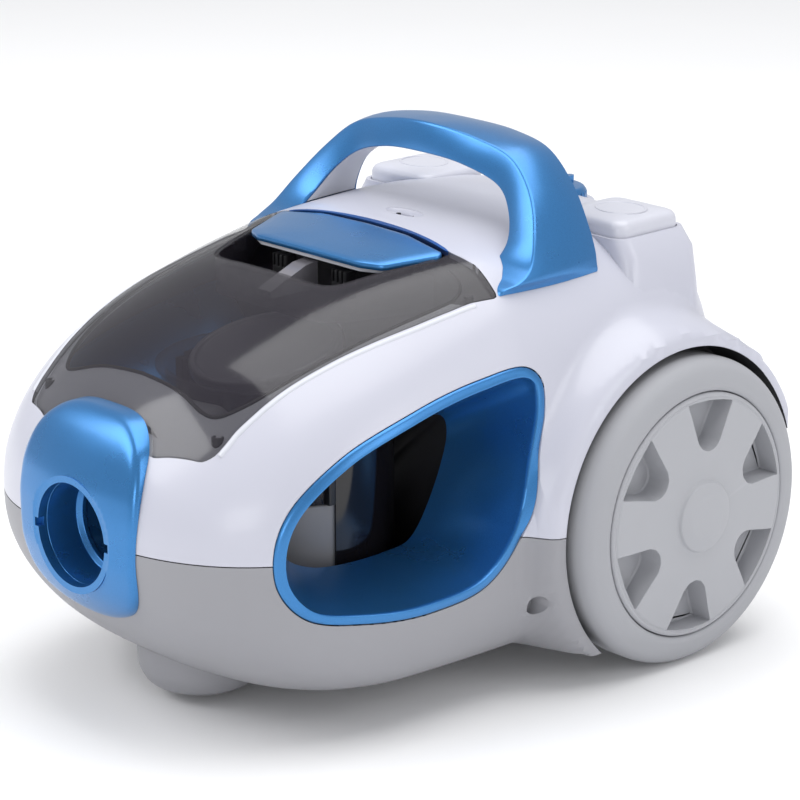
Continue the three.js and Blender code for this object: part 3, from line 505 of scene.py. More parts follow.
WHITE = plastic("white_shell", linear(190, 191, 203), 0.34, 0.05, 700.0, 0.00002, 0.12, coat=0.25,
                coat_roughness=0.15, wear=0.02)
# Paler copy of the shell white: on the lid lip and ledge, which are the shell's own edge, the paler tone is a
# painted highlight.
PALE_AND_LIT_WHITE = plastic("pale_and_lit_white", linear(206, 208, 216), 0.36, wear=0.03)
GREY = plastic("grey_base", linear(146, 146, 151), 0.44, 0.05, 1100.0, 0.00006, 0.3, wear=0.04)
BLUE = metallic_paint("blue_metallic", linear(54, 124, 186), 0.3)
DEEP_BLUE = metallic_paint("blue_step", linear(30, 92, 168), 0.4)
TYRE = plastic("tyre_grey", linear(160, 161, 166), 0.58, 0.05, 1300.0, 0.00008, 0.35, wear=0.05)
HUB = plastic("hub_grey", linear(166, 167, 172), 0.5, 0.05, 1200.0, 0.00006, 0.3, wear=0.04)
BLACK = plastic("black_plastic", linear(30, 30, 33), 0.4, 0.07, 900.0, wear=0.2)
RUBBER = plastic("black_rubber", linear(24, 24, 26), 0.7, 0.06, 1500.0, 0.00008, 0.4, wear=0.2)
# Dark colour that paints shade: on the inner faces of the body and wheel wells, the bulkhead and the screw
# bosses under the lid.
PAINTED_SHADE = plastic("painted_shade_inside", linear(40, 40, 44), 0.6, 0.06, wear=0.2)
CUP = plastic("cup_grey", linear(130, 130, 134), 0.42, 0.06, wear=0.06)
PEARL = plastic("pearl_white", linear(196, 197, 207), 0.34, 0.05, 800.0, 0.00002, 0.15, coat=0.15,
                wear=0.03)
SMOKE = plastic("smoked_lid", linear(44, 40, 51), 0.12, 0.02, 30.0, 0.00001, 0.02, alpha=0.42,
                wear=0.1, coat=0.5, coat_roughness=0.06, edge=0.0)
SMOKE_BIN = plastic("smoked_bin", linear(50, 47, 54), 0.14, 0.03, 40.0, 0.00001, 0.05, alpha=0.4,
                    wear=0.1, edge=0.0)
SLATE = plastic("slate_plastic", linear(92, 90, 98), 0.35, 0.05, wear=0.08)
# Gloss black used as painted shade in the gap round the container.
GLOSS_BLACK_GAP_SHADE = plastic("gloss_black_gap_shade", linear(22, 21, 25), 0.12, 0.04, 60.0, 0.00002, 0.08, wear=0.3,
                      edge=0.0)
CLEAR_GREY = plastic("clear_grey", linear(120, 118, 124), 0.2, 0.04, 60.0, 0.00002, 0.08, wear=0.1,
                     edge=0.0)
STEEL = plastic("bright_steel", linear(186, 188, 190), 0.28, 0.08, 600.0, metallic=1.0, wear=0.1)
ALLOY = plastic("cast_alloy", linear(170, 172, 174), 0.45, 0.08, 500.0, 0.0001, 0.4, metallic=0.9,
                wear=0.1)
FOAM = plastic("filter_foam", linear(84, 88, 92), 0.95, 0.03, 1800.0, 0.0006, 0.9, wear=0.3)
BOARD = plastic("board_green", linear(38, 96, 66), 0.4, 0.08, 500.0, wear=0.3)


# ---------- helpers for the body pieces ----------
def circle(centre, radius, sides=96):
    angle = np.arange(sides) / sides * 2 * math.pi
    return np.stack([centre[0] + radius * np.cos(angle), centre[1] + radius * np.sin(angle)], 1)


def rod(axis, centre, radius, low, high, sides=96):
    return prism("rod", circle(centre, radius, sides), axis, low, high)


def block(x0, x1, y0, y1, z0, z1):
    return prism("block", [(x0, y0), (x1, y0), (x1, y1), (x0, y1)], "z", z0, z1)


def on_side(side, low, high):
    """Range on the right side of the middle plane (1) or its mirror image on the left (-1)."""
    return (low, high) if side > 0 else (-high, -low)


def side_name(side):
    return "right" if side > 0 else "left"


def swept(name, path, radius, sides=10):
    """Round strip along a path of points."""
    p = np.asarray(path, float)
    along = np.gradient(p, axis=0)
    along /= np.linalg.norm(along, axis=1)[:, None]
    across = np.cross(along, (0, 0, 1.0))
    across /= np.maximum(np.linalg.norm(across, axis=1), 1e-9)[:, None]
    up = np.cross(across, along)
    rings = []
    for i in range(len(p)):
        rings.append([p[i] + radius * (math.cos(a) * across[i] + math.sin(a) * up[i])
                      for a in np.arange(sides) / sides * 2 * math.pi])
    return loft(name, rings)


def above_seam(lift):
    """Everything above the line between the upper body and the base."""
    def low(y):
        return float(seam_height(y)) + lift
    outline = [(y, low(y)) for y in (-FAR, -140, 50, FAR)] + [(FAR, FAR), (-FAR, FAR)]
    return prism("above", outline, "x", -FAR, FAR)


def surface_line(outline, sink):
    """Plan outline laid on the upper surface, sunk below it."""
    outline = np.asarray(outline, float)
    return np.column_stack([outline, top_z(outline[:, 0], outline[:, 1], sink)])


LID = rounded_ring(mirrored_plan(LID_HALF), 2.0, 2)
SCOOP = rounded_ring(mirrored_plan(SCOOP_HALF), 5.0, 5)
FLAP = rounded_ring(mirrored_plan(FLAP_HALF), 3.0, 5)
BEZEL = smooth_line(mirrored_plan([
    (0, 163), (24, 160.5), (37, 151), (43, 138), (45.3, 118), (44.8, 98), (42, 80), (34.5, 68.5), (19, 61),
    (0, 58)]), 120)
bezel_front = curve([
    (50, -150), (56, -168), (66, -177), (80, -183), (96, -186), (112, -186), (126, -184.5), (140, -180.5),
    (153, -174), (163, -165), (169, -156), (171, -150)])

WHEEL_CENTRE = (0, WHEEL_Y, WHEEL_Z)
WHEEL_SIDE = (WHEEL_Y, WHEEL_Z)


def fender_drum(side):
    """Drum that covers a rear wheel from the front, above and behind."""
    edge, face = FENDER_RADIUS, FENDER_X - 0.2
    profile = [
        (0, 104), (edge, 104), (edge, face - 2.5), (edge - 0.6, face - 0.8), (edge - 2, face), (0, face)]
    drum = turned("drum", [(r, side * x) for r, x in profile], "x", WHEEL_CENTRE, 160)
    overlap(drum, block(-FAR, FAR, -FAR, TAIL_Y - 0.02, 18, FAR))
    return cut(drum, block(-FAR, FAR, WHEEL_Y, FAR, -FAR, WHEEL_Z + 26))


outer = body_solid()
join(outer, fender_drum(1))
join(outer, fender_drum(-1))
inner = body_solid(3.0)


def wells(radius, face_x):
    both = rod("x", WHEEL_SIDE, radius, face_x, FAR, 128)
    return join(both, rod("x", WHEEL_SIDE, radius, -FAR, -face_x, 128))


def opened_shell():
    """Hollow body with the wheel wells, the window openings and the port opening."""
    wall = 2.5
    shell = copy_of(outer, "shell")
    cut(shell, inner, keep=True)
    lining = wells(WELL_RADIUS + wall, WELL_FACE_X - wall)
    overlap(lining, outer, keep=True)
    join(shell, lining)
    cut(shell, wells(WELL_RADIUS, WELL_FACE_X))
    for side in (1, -1):
        cut(shell, prism("window", grown(WINDOW, 0.35), "x", *on_side(side, 60, FAR)))
        cut(shell, rod("x", WHEEL_SIDE, 8.0, *on_side(side, 100, 112), sides=32))
    cut(shell, prism("port", grown(BEZEL, -6), "y", -FAR, -150))
    return shell


shell = opened_shell()


def tower(side):
    """Rear shoulder of the body that carries a pedal."""
    top = tower_plan(side)
    stages = ((109, 151, 165.0), (107, 149.5, 190.0), (104, 149, 208.0))
    rings = [placed(rounded_box(46, x, 95, y, 9) * (side, 1), "z", level) for x, y, level in stages]
    shoulder = loft("tower", rings + [placed(top, "z", PEDAL_SEAM_Z)])
    room = copy_of(shoulder, "tower_room")
    join(room, outer, keep=True)
    walls = prism("tower_block", top, "z", PEDAL_FLOOR_Z - 7, 240)
    overlap(walls, room)
    cut(shoulder, inner, keep=True)
    return join(shoulder, walls)


def upper_body():
    body = copy_of(shell, "upper_body_skin")
    overlap(body, above_seam(0.0))
    for side in (1, -1):
        join(body, tower(side))
        cut(body, prism("pocket", tower_plan(side, 2.0), "z", PEDAL_FLOOR_Z, ABOVE_Z))
    join(body, rod("z", (0, DIAL_Y), DIAL_RADIUS + 4, 209, DIAL_FLOOR_Z))
    cut(body, rod("z", (0, DIAL_Y), DIAL_RADIUS + 1, DIAL_FLOOR_Z - 1, ABOVE_Z))
    cut(body, rod("z", (0, DIAL_Y), 3.4, 200, 215, 32))
    cut(body, prism("lid_hole", grown(LID, 0.5), "z", LID_LOW_Z, ABOVE_Z))
    cut(body, prism("grille_hole", grown(GRILLE, 0.4), "y", 155, FAR))
    cut(body, deck_recess())
    finish_piece(body, WHITE, "chassis", ["upper_body"], 40)
    return paint_shade_inside(body)


def paint_shade_inside(piece):
    """Second material, a dark painted shade, on the faces that look into the body or the wheel wells."""
    piece.data.materials.append(PAINTED_SHADE)
    deep = 1.9
    drain_y, drain_z = DRAIN_CENTRE
    for face in piece.data.polygons:
        x, y, z = np.array(face.center) / MM
        spoke = Vector((0, y - WHEEL_Y, z - WHEEL_Z))
        radius = spoke.length
        on_wall = abs(radius - WELL_RADIUS) < 1.5 and face.normal.dot(spoke.normalized()) < -0.6
        on_floor = abs(abs(x) - WELL_FACE_X) < 0.3 and abs(face.normal.x) > 0.95 and radius < WELL_RADIUS
        on_drum = abs(radius - FENDER_RADIUS) < 0.8 and abs(x) > 100
        on_drain = abs(x) > 112 and abs(y - drain_y) < 6 and abs(z - drain_z) < 8
        inward = face.normal.dot(Vector((x, y - MIDDLE_Y, z - CENTRE_Z))) < 0
        below_top = z < float(top_z(x, y, deep)) if z > CENTRE_Z else z > float(bottom_height(y)) + deep
        lining = inward and not on_drum and not on_drain
        if on_wall or on_floor or lining and below_top and abs(x) + deep < float(side_x(y, z)):
            face.material_index = 1
    return piece


def deck_recess():
    """Shallow oval dimple with a screw slot, in the deck behind the container."""
    centre = (0, 37)
    half_long, half_short, depth = 13, 5.5, 1.8
    surface = float(top_z(*centre))
    steps = 10
    rings = []
    for i in range(steps + 1):
        t = i / steps
        spread = (1 - t ** 2) ** 0.5
        outline = circle((0, 0), 1.0, 48) * (half_long * spread + 0.01, half_short * spread + 0.01)
        rings.append(placed(outline + centre, "z", surface - depth * t))
    rings.insert(0, rings[0] + (0, 0, 3))
    dimple = loft("dimple", rings)
    slot = rounded_box(-6, 6, 35.4, 38.6, 1.5)
    return join(dimple, prism("slot", slot, "z", surface - 2.6, surface + 1))


def lower_base():
    base = copy_of(shell, "lower_base_skin")
    cut(base, above_seam(-0.5))
    pocket = rod("z", (0, CASTER_Y), CASTER_RADIUS + 5, 12, CASTER_TOP_Z + 4)
    join(base, overlap(pocket, outer, keep=True))
    join(base, rod("z", (0, CASTER_Y), 10, CASTER_TOP_Z + 3, 52, 48))
    cut(base, rod("z", (0, CASTER_Y), CASTER_RADIUS + 2, -10, CASTER_TOP_Z + 1))
    cut(base, rod("z", (0, CASTER_Y), 5.4, 20, 49, 32))
    cut(base, rod("y", (50, 62), 8.5, 150, 220, 48))
    for x, y in ((72, -52), (-72, -52), (60, 140), (-60, 140)):
        cut(base, rod("z", (x, y), 5, 0, 14.8, 32))
    for side in (1, -1):
        join(base, overlap(side_drain(side, 1.8, 10.0), outer, keep=True))
        cut(base, side_drain(side, 0.0, 7.5))
    finish_piece(base, GREY, "chassis", ["lower_base"], 40)
    return paint_shade_inside(base)


def side_drain(side, spread, depth):
    """Small oval sink in the side of the base, in front of the wheel, or the cup behind it."""
    outline = circle((0, 0), 1.0, 40) * (3.4 + spread, 5.4 + spread) + DRAIN_CENTRE
    deep = float(side_x(*DRAIN_CENTRE))
    return prism("drain", outline, "x", *on_side(side, deep - depth, deep + 20))


upper_body()
lower_base()


# ---------- blue parts ----------
def window_frame(side):
    """Rim flush with the side of the body and a funnel that narrows towards the container."""
    def on_body(outline, out):
        return np.column_stack([side_x(outline[:, 0], outline[:, 1]) + out, outline])

    def between(t, spread, sink):
        start = on_body(grown(WINDOW, -5.3 + spread), -sink)
        end = np.column_stack([np.full(len(WINDOW_INNER), 68.0), grown(WINDOW_INNER, spread)])
        return start + (end - start) * t

    rim = ((0, -0.6), (-0.5, 0.2), (-1.4, 0.5), (-4.2, 0.5), (-4.8, 0.2), (-5.2, -0.6))
    rings = [on_body(grown(WINDOW, spread), out) for spread, out in rim]
    rings += [between(t, 0.0, 2.0) for t in np.linspace(0, 1, 14)]
    rings += [between(t, 2.2, 4.0) for t in np.linspace(1, 0, 8)]
    rings += [on_body(grown(WINDOW, -2.6), -3.4), on_body(WINDOW, -2.6)]
    rings = [r * (side, 1, 1) for r in rings]
    funnel = loft("window_frame_skin_" + side_name(side), rings + [rings[0]], caps=False)
    return finish_piece(funnel, BLUE, "chassis", ["window_frame_" + side_name(side)], 30)


def hose_bezel():
    """Crowned shield over the nose with a stepped hose port."""
    middle = np.array([0.0, 106.0])
    rear_y = -140.0

    def ring(scale, back):
        p = middle + (BEZEL - middle) * scale
        crown = 4.6 * np.abs(p[:, 0] / 45.3) ** 2.2
        front = np.minimum(bezel_front(p[:, 1]) + crown + back, rear_y - 1)
        return np.column_stack([p[:, 0], front, p[:, 1]])

    rings = [placed(BEZEL, "y", rear_y)]
    rings += [ring(scale, back) for scale, back in ((1.0, 3.0), (0.992, 1.6), (0.975, 0.7), (0.95, 0.2))]
    rings += [ring(s, 0.0) for s in np.linspace(0.92, 0.02, 26)]
    shield = loft("hose_bezel_skin", rings)
    cut(shield, body_solid(-0.35))
    cut(shield, port_dish())
    cut(shield, rod("y", (0, PORT_Z), PORT_RADIUS, -200, rear_y))
    collar = [(PORT_RADIUS, -184), (29.4, -184), (29.4, -179), (PORT_RADIUS, -179)]
    join(shield, turned("collar", collar, "y", (0, 0, PORT_Z), 96))
    notch = 2.2
    for side in (1, -1):
        x_range = on_side(side, 20, PORT_RADIUS + 2.6)
        cut(shield, block(*x_range, -200, -180.5, PORT_Z - notch, PORT_Z + notch))
    return finish_piece(shield, BLUE, "chassis", ["hose_bezel"], 30)


def port_dish():
    """Shallow dished ring round the port mouth."""
    profile = ((0.5, -190), (37, -190), (36, -186.2), (33, -184.9), (29, -184.0), (27.5, -183.2),
               (25, -181.5), (0.5, -181.5))
    return loft("dish", [placed(circle((0, PORT_Z), radius), "y", y) for radius, y in profile])


def inlet_sleeve():
    """Inner sleeve of the port, with a ledge that stops the hose end."""
    profile = [
        (25.9, -178.8), (28.8, -178.8), (28.8, -132.2), (24, -132.2), (24, -156), (22.6, -157),
        (22.6, -159.5), (25.7, -161)]
    sleeve = turned("inlet_duct_skin", softened(profile, 0.5), "y", (0, 0, PORT_Z), 96)
    return finish_piece(sleeve, BLUE, "chassis", ["inlet_duct"], 30)


window_frame(1)
window_frame(-1)
hose_bezel()
inlet_sleeve()

# Corner lines of one half of the handle arch, foot to middle:
# front outer, rear outer, rear inner, front inner.
HANDLE_LINES = [
    [(92, 8, 194), (96, 11.5, 205), (99, 22, 209), (97.8, 31, 214.6), (90.4, 40.5, 228.4),
     (76.7, 50.6, 246.6), (59.4, 55, 260.5), (35, 54, 267.3), (0, 51, 271)],
    [(94, 79, 194), (97.6, 80, 205), (97, 80, 209), (95.5, 80.5, 214.6), (90, 81, 227), (77, 83, 245.5),
     (59, 84, 261), (35, 85, 266.5), (0, 85, 268)],
    [(78, 76, 196), (78, 76, 206), (78, 75, 210), (77.5, 74, 215), (75, 73, 224), (68, 74, 238),
     (54, 77, 248), (30, 79, 253), (0, 80, 254.5)],
    [(76, 13, 196), (75.5, 15, 208), (75.2, 20.9, 211.7), (74.9, 28, 215), (73, 38, 223), (65.7, 45.9, 235.4),
     (54.4, 50.5, 245.4), (30, 49, 253), (0, 48, 255)]]
ARCH_STEPS = 10


def arch_lines():
    """The four corner lines of the whole arch, from the left foot to the right one."""
    lines = []
    for half in HANDLE_LINES:
        far = [(-x, y, z) for x, y, z in half[:-1]]
        lines.append(fine_line(far + half[::-1], ARCH_STEPS))
    return lines


def crowned(a, b, height, away, steps=6):
    """Points from a towards b on a low arc that bulges away from a third point."""
    middle = (a + b) / 2
    out = middle - away
    out -= (b - a) * np.dot(out, b - a) / np.dot(b - a, b - a)
    out /= np.linalg.norm(out)
    return [a + (b - a) * t + out * height * 4 * t * (1 - t) for t in np.arange(1, steps) / steps]


def carry_handle():
    rings = []
    for front_out, rear_out, rear_in, front_in in zip(*arch_lines()):
        centre = (front_out + rear_out + rear_in + front_in) / 4
        ring = rounded_ring([front_out, rear_out, rear_in, front_in], 1.6, 3)
        corners = [ring[i:i + 4] for i in range(0, 16, 4)]
        whole = []
        for k, bulge in enumerate((1.3, 0.3, 0.0, 0.5)):
            whole += list(corners[k])
            if bulge:
                whole += crowned(corners[k][-1], corners[(k + 1) % 4][0], bulge, centre)
        rings.append(np.minimum(whole, (FAR, FAR, HANDLE_TOP_Z)))
    arch = loft("carry_handle_skin", rings)
    cut(arch, arch_strip("groove", 0.07, 3.0, 4.0))
    cut(arch, body_solid(-0.2, *COARSE))
    return finish_piece(arch, BLUE, "chassis", ["carry_handle"], 32)


def arch_strip(name, margin, depth, below):
    """Strip along the underside of the arch, set in from its edges."""
    rings = []
    for front_out, rear_out, rear_in, front_in in zip(*arch_lines()):
        front = front_in + (rear_in - front_in) * margin
        rear = rear_in + (front_in - rear_in) * margin / 2
        up = (front_out + rear_out) / 2 - (front_in + rear_in) / 2
        up /= np.linalg.norm(up)
        ring = [front + up * depth, rear + up * depth, rear - up * below, front - up * below]
        rings.append(rounded_ring(ring, 0.5, 2))
    return loft(name, rings)


def handle_liner():
    liner = arch_strip("handle_liner", 0.08, 2.6, 0.2)
    cut(liner, body_solid(-0.6, *COARSE))
    return finish_piece(liner, PALE_AND_LIT_WHITE, "chassis", ["handle_underside"], 32)


carry_handle()
handle_liner()


# ---------- dust container ----------
def lid_canopy():
    lid = copy_of(outer, "lid_skin")
    cut(lid, body_solid(2.5))
    overlap(lid, prism("lid_plan", LID, "z", LID_LOW_Z, ABOVE_Z))
    cut(lid, prism("scoop", SCOOP, "z", DECK_LOW_Z, ABOVE_Z))
    cut(lid, prism("flap_gap", grown(FLAP, 0.8), "z", DECK_LOW_Z, ABOVE_Z))
    room = [(-61.8, 0), (61.8, 0), (61.8, 9.6), (30, 12.9), (0, 13.9), (-30, 12.9), (-61.8, 9.6)]
    cut(lid, prism("flap_room", room, "z", DECK_LOW_Z, ABOVE_Z))
    cut(lid, prism("bezel_room", grown(BEZEL, 1.0), "y", -200, -158))
    return finish_piece(lid, SMOKE, "dust_container", ["lid_canopy"])


GASKET_HALF = [
    (0, -137.5), (30, -139), (50, -141.3), (57.5, -139.5), (64.8, -130.8), (70.6, -117), (77.5, -85),
    (81.6, -49.5), (84.2, -20), (84.4, -9.5), (81.8, -2.6), (76.4, 1.3), (68, 2.6)]


def gasket():
    """Rubber seal under the lid, and the four screw bosses beside it."""
    half = smooth_line(GASKET_HALF, 90, closed=False)
    whole = np.concatenate([half[::-1] * (-1, 1), half[1:]])
    strip = swept("canopy_seal_skin", surface_line(whole, 3.7), 1.0)
    finish_piece(strip, RUBBER, "dust_container", ["canopy_seal"], 60)
    for side in (1, -1):
        for x, y in ((64.5, -144.5), (86.2, -1.5)):
            boss(side * x, y)


def boss(x, y):
    """Screw boss moulded under the lid."""
    height = float(top_z(x, y, 3.2))
    profile = [(1.6, -9), (3.4, -9), (3.0, 0), (1.6, 0)]
    piece = turned("lid_boss", softened(profile, 0.4, 2), "z", (x, y, height), 32)
    # The boss takes the painted shade colour of the inside, seen through the lid.
    return finish_piece(piece, PAINTED_SHADE, "dust_container")


def lid_ledge():
    """Step of the shell that the rim of the lid closes on, open at the rear; its paler tone is a painted
    highlight.
    """
    lines = []
    for half in (LID_HALF[:-4], GASKET_HALF[:-3]):
        right = smooth_line(half, 80, closed=False)
        lines.append(np.concatenate([right[::-1] * (-1, 1), right[1:]]))
    shell_side, gasket_side = grown(lines[0], 1.2), lines[1]
    corners = ((shell_side, 3.4), (gasket_side, 3.4), (gasket_side, 5.6), (shell_side, 5.6))
    rings = np.stack([surface_line(line, depth) for line, depth in corners], 1)
    finish_piece(loft("lid_ledge", rings[2:-2]), PALE_AND_LIT_WHITE, "chassis", sharp=40)


def lid_lip():
    """Rolled edge of the shell along the lid, paler than the shell as a painted highlight."""
    outline = grown(LID, 1.6)
    sides = outline[(outline[:, 1] > -150) & (outline[:, 1] < 4)]
    for side in (1, -1):
        run = sides[sides[:, 0] * side > 0]
        run = run[np.argsort(run[:, 1])]
        run = smooth_line(run, 80, closed=False)
        strip = swept("lid_lip", surface_line(run, 1.1), 1.5, 12)
        finish_piece(strip, PALE_AND_LIT_WHITE, "chassis", sharp=60)


def plate_on_body(name, outline, top, bottom, rounding=0.8, inset_steps=10):
    """Plate that follows the upper surface, from a height above it to a depth below it."""
    middle = outline.mean(0)
    rings = []
    soft = rounding * 0.3
    for inset, height in ((soft, bottom), (0.0, bottom + rounding), (0.0, top - rounding),
                          (soft, top - soft), (rounding, top)):
        p = grown(outline, -inset)
        rings.append(np.column_stack([p, top_z(p[:, 0], p[:, 1]) + height]))
    inner_line = grown(outline, -rounding)
    for s in np.linspace(1, 0.02, inset_steps)[1:]:
        p = middle + (inner_line - middle) * s
        rings.append(np.column_stack([p, top_z(p[:, 0], p[:, 1]) + top]))
    under = []
    for s in np.linspace(0.02, 1, inset_steps)[:-1]:
        p = middle + (grown(outline, -soft) - middle) * s
        under.append(np.column_stack([p, top_z(p[:, 0], p[:, 1]) + bottom]))
    return loft(name, under + rings)


def latch():
    """Flap with its hinge knuckle and light liner, and the step behind it."""
    hinge = (HINGE_Y, HINGE_Z)
    flap = plate_on_body("latch_flap_skin", FLAP, 1.2, -2.0, 1.0)
    knuckle = rod("x", hinge, 2.6, -30, 30, 48)
    join(knuckle, block(-30, 30, HINGE_Y - 2, HINGE_Y + 2, HINGE_Z, HINGE_Z + 4))
    cut(knuckle, rod("x", hinge, 1.3, -40, 40, 32))
    join(flap, knuckle)
    finish_piece(flap, BLUE, "latch", ["latch_flap"], 30)
    liner_plan = rounded_ring([
        (-50.5, -9), (-47.2, -23.6), (-37, -29.3), (0, -31.3), (37, -29.3), (47.2, -23.6),
        (50.5, -9)], 2.0, 3)
    liner = plate_on_body("flap_liner", liner_plan, -2.1, -4.6, 0.5)
    finish_piece(liner, PALE_AND_LIT_WHITE, "latch")
    crescent = [(-60, 10.2), (-30, 13.4), (0, 14.4), (30, 13.4), (60, 10.2), (59.5, 10.9), (30, 15.6),
                (0, 17.6), (-30, 15.6), (-59.5, 10.9)]
    strip = prism("flap_step", smooth_line(crescent, 96), "z", DECK_LOW_Z, ABOVE_Z)
    overlap(strip, cut(body_solid(-0.5, *COARSE), body_solid(2.0, *COARSE)))
    finish_piece(strip, DEEP_BLUE, "dust_container", sharp=40)


def latch_tray():
    tray = prism("latch_tray_skin", grown(SCOOP, -0.4), "z", 192, ABOVE_Z)
    cut(tray, prism("tray_room", grown(SCOOP, -2.4), "z", 195, ABOVE_Z))
    overlap(tray, body_solid(0.6, *COARSE))
    cut(tray, prism("tray_flap", grown(FLAP, 1.2), "z", 208, ABOVE_Z))
    finish_piece(tray, SMOKE_BIN, "dust_container", ["latch_tray"])


def latch_fittings():
    """Strut and catch blocks that show inside the scoop, in front of the flap."""
    side_view = [(-57.6, 197), (-57.6, 200.5), (-34, 210), (-26, 211), (-26, 197)]
    finish_piece(prism("latch_strut", side_view, "x", -7, 3), CLEAR_GREY, "dust_container")
    pitch = 3.2
    for side in (1, -1):
        low, high = on_side(side, 17, 28)
        catch = prism("latch_catch", rounded_box(low, high, -30, -22, 1.5), "z", 196, 210)
        for step in range(3):
            gap = low + 1.5 + step * pitch
            cut(catch, block(gap, gap + 1.5, -40, -28, 204, 220))
        finish_piece(catch, BLACK, "dust_container")


lid_canopy()
gasket()
latch_fittings()
lid_ledge()
lid_lip()
latch()
latch_tray()


def bin_parts():
    """Cup of the dust container with its ribs, gloss black strips beside it that paint the shade of the gap
    round it, and its floor.
    """
    centre = (0, BIN_Y, 0)
    wall = turned("bin_cup_skin", softened([
        (BIN_RADIUS - 2.2, BIN_SPLIT_Z + 0.4), (BIN_RADIUS, BIN_SPLIT_Z + 0.4), (BIN_RADIUS, BIN_TOP_Z),
        (BIN_RADIUS + 3, BIN_TOP_Z + 2), (BIN_RADIUS + 3, BIN_TOP_Z + 4), (BIN_RADIUS - 2.2, BIN_TOP_Z + 4)],
        0.6), "z", centre, 128)
    cut(wall, rod("y", (0, 132), 19, -130, -90, 64))
    overlap(wall, body_solid(4.0, *COARSE))
    finish_piece(wall, SMOKE_BIN, "dust_container", ["bin_cup"])
    arc = np.radians(np.linspace(-12, 72, 40))
    for side in (1, -1):
        x_range = on_side(side, BIN_RADIUS - 5, BIN_RADIUS + 1.3)
        rib = prism("bin_rib", rounded_box(*x_range, BIN_Y - 17.5, BIN_Y - 13, 0.8), "z",
                    BIN_SPLIT_Z + 0.6, BIN_TOP_Z - 4)
        finish_piece(rib, BLACK, "dust_container")
        # Gloss black strip just outside the cup: painted shade of the gap between the window and the
        # container.
        reach = np.stack([side * np.cos(arc), np.sin(arc)], 1)
        outside = centre[:2] + reach * (BIN_RADIUS + 1.6)
        inside = centre[:2] + reach * (BIN_RADIUS + 0.3)
        outline = np.concatenate([outside, inside[::-1]])
        gap_shade = prism("bin_gap_shade", outline, "z", BIN_FLOOR_Z + 8, BIN_TOP_Z - 2)
        finish_piece(gap_shade, GLOSS_BLACK_GAP_SHADE, "dust_container")
    floor = turned("bin_floor_skin", softened([
        (0, BIN_FLOOR_Z), (BIN_RADIUS - 6, BIN_FLOOR_Z), (BIN_RADIUS, BIN_FLOOR_Z + 6),
        (BIN_RADIUS, BIN_SPLIT_Z), (BIN_RADIUS - 3, BIN_SPLIT_Z), (BIN_RADIUS - 3, BIN_FLOOR_Z + 8),
        (BIN_RADIUS - 8, BIN_FLOOR_Z + 3),
        (0, BIN_FLOOR_Z + 3)], 2.0, 5), "z", centre, 128)
    finish_piece(floor, CUP, "dust_container", ["bin_floor"], 40)


def cyclone():
    """Slotted cage in the container and the leaning disc that closes it."""
    cage = turned("cyclone_shroud_skin", softened([
        (0, 92), (16, 92), (27, 104), (27, 150), (24.5, 150), (24.5, 105), (15, 94.5), (0, 94.5)], 1.0),
        "z", (0, BIN_Y, 0), 96)
    for i in range(8):
        slot = prism("slot", rounded_box(14, 34, -3, 3, 2.5), "z", 112, 144)
        slot.data.transform(Matrix.Rotation(i / 8 * 2 * math.pi, 4, "Z"))
        slot.data.transform(Matrix.Translation(Vector((0, BIN_Y, 0)) * MM))
        cut(cage, slot)
    finish_piece(cage, CUP, "dust_container", ["cyclone_shroud"])
    rim = CAP_RADIUS
    disc = turned("cyclone_cap_skin", softened([
        (0, 0), (rim - 1, 0), (rim, 2), (rim, 6.6), (rim - 1, 8), (rim - 3.4, 8), (rim - 4.6, 6.4), (10, 5.8),
        (0, 5.6)], 0.7), "z", (0, 0, 0), 128)
    leaning = Matrix.Translation(Vector(CAP_CENTRE) * MM) @ Matrix.Rotation(math.radians(CAP_TILT), 4, "X")
    disc.data.transform(leaning)
    stalk = turned("cap_stalk", [(18, 150.4), (23, 150.4), (23, 172), (18, 172)], "z", (0, BIN_Y, 0), 96)
    above = block(-100, 100, -100, 100, 4, 64)
    above.data.transform(leaning)
    cut(stalk, above)
    join(disc, stalk)
    finish_piece(disc, SLATE, "dust_container", ["cyclone_cap"])


def throat():
    """Channel from the hose port into the container."""
    outline = rounded_box(-27, 27, 75, 156, 8)
    outside = prism("bin_throat_skin", outline, "y", -127.5, BIN_Y - 30)
    cut(outside, prism("inside", grown(outline, -2.5), "y", -125, BIN_Y - 20))
    cut(outside, rod("z", (0, BIN_Y), BIN_RADIUS + 1, 0, 300))
    cut(outside, rod("y", (0, PORT_Z), 24, -200, -90))
    finish_piece(outside, CUP, "dust_container", ["bin_throat"])


bin_parts()
cyclone()
throat()


# ---------- pedals and dial ----------
PEDAL_GAP = 2.5


def pedal(side, body, node):
    """Pillowed cap over a tower, with a raised ring."""
    rings = []
    for inset, drop in ((0, 18), (0, 5.8), (0.5, 3.7), (1.6, 2.2), (3.2, 1.4), (6.5, 0.8), (11, 0.4),
                        (16, 0.15), (20, 0.05), (22.5, 0)):
        plan = tower_plan(side, PEDAL_GAP + inset) if inset < 15 else shrunk(side, inset)
        rings.append(placed(plan, "z", PEDAL_TOP_Z - drop))
    cap = loft(node + "_skin", rings)
    cut(cap, prism("hollow", tower_plan(side, 5.0), "z", 200, 219))
    profile = softened([(11.4, -3), (12.6, -3), (12.6, 0.45), (11.4, 0.45)], 0.4)
    ring = turned("ring", profile, "z", (0, 0, 0), 96)
    ring.data.transform(Matrix.Diagonal((1.15, 1.0, 1.0, 1.0)))
    ring.data.transform(Matrix.Translation(Vector((side * (PEDAL_X + 2), PEDAL_Y, PEDAL_TOP_Z - 0.45)) * MM))
    join(cap, ring)
    return finish_piece(cap, PEARL, body, [node])


def shrunk(side, inset):
    """Inner contour of a pedal top, drawn towards its middle."""
    middle = np.array([side * PEDAL_X, PEDAL_Y])
    plan = tower_plan(side, PEDAL_GAP + 11)
    return middle + (plan - middle) * (22.8 - inset) / 11.5


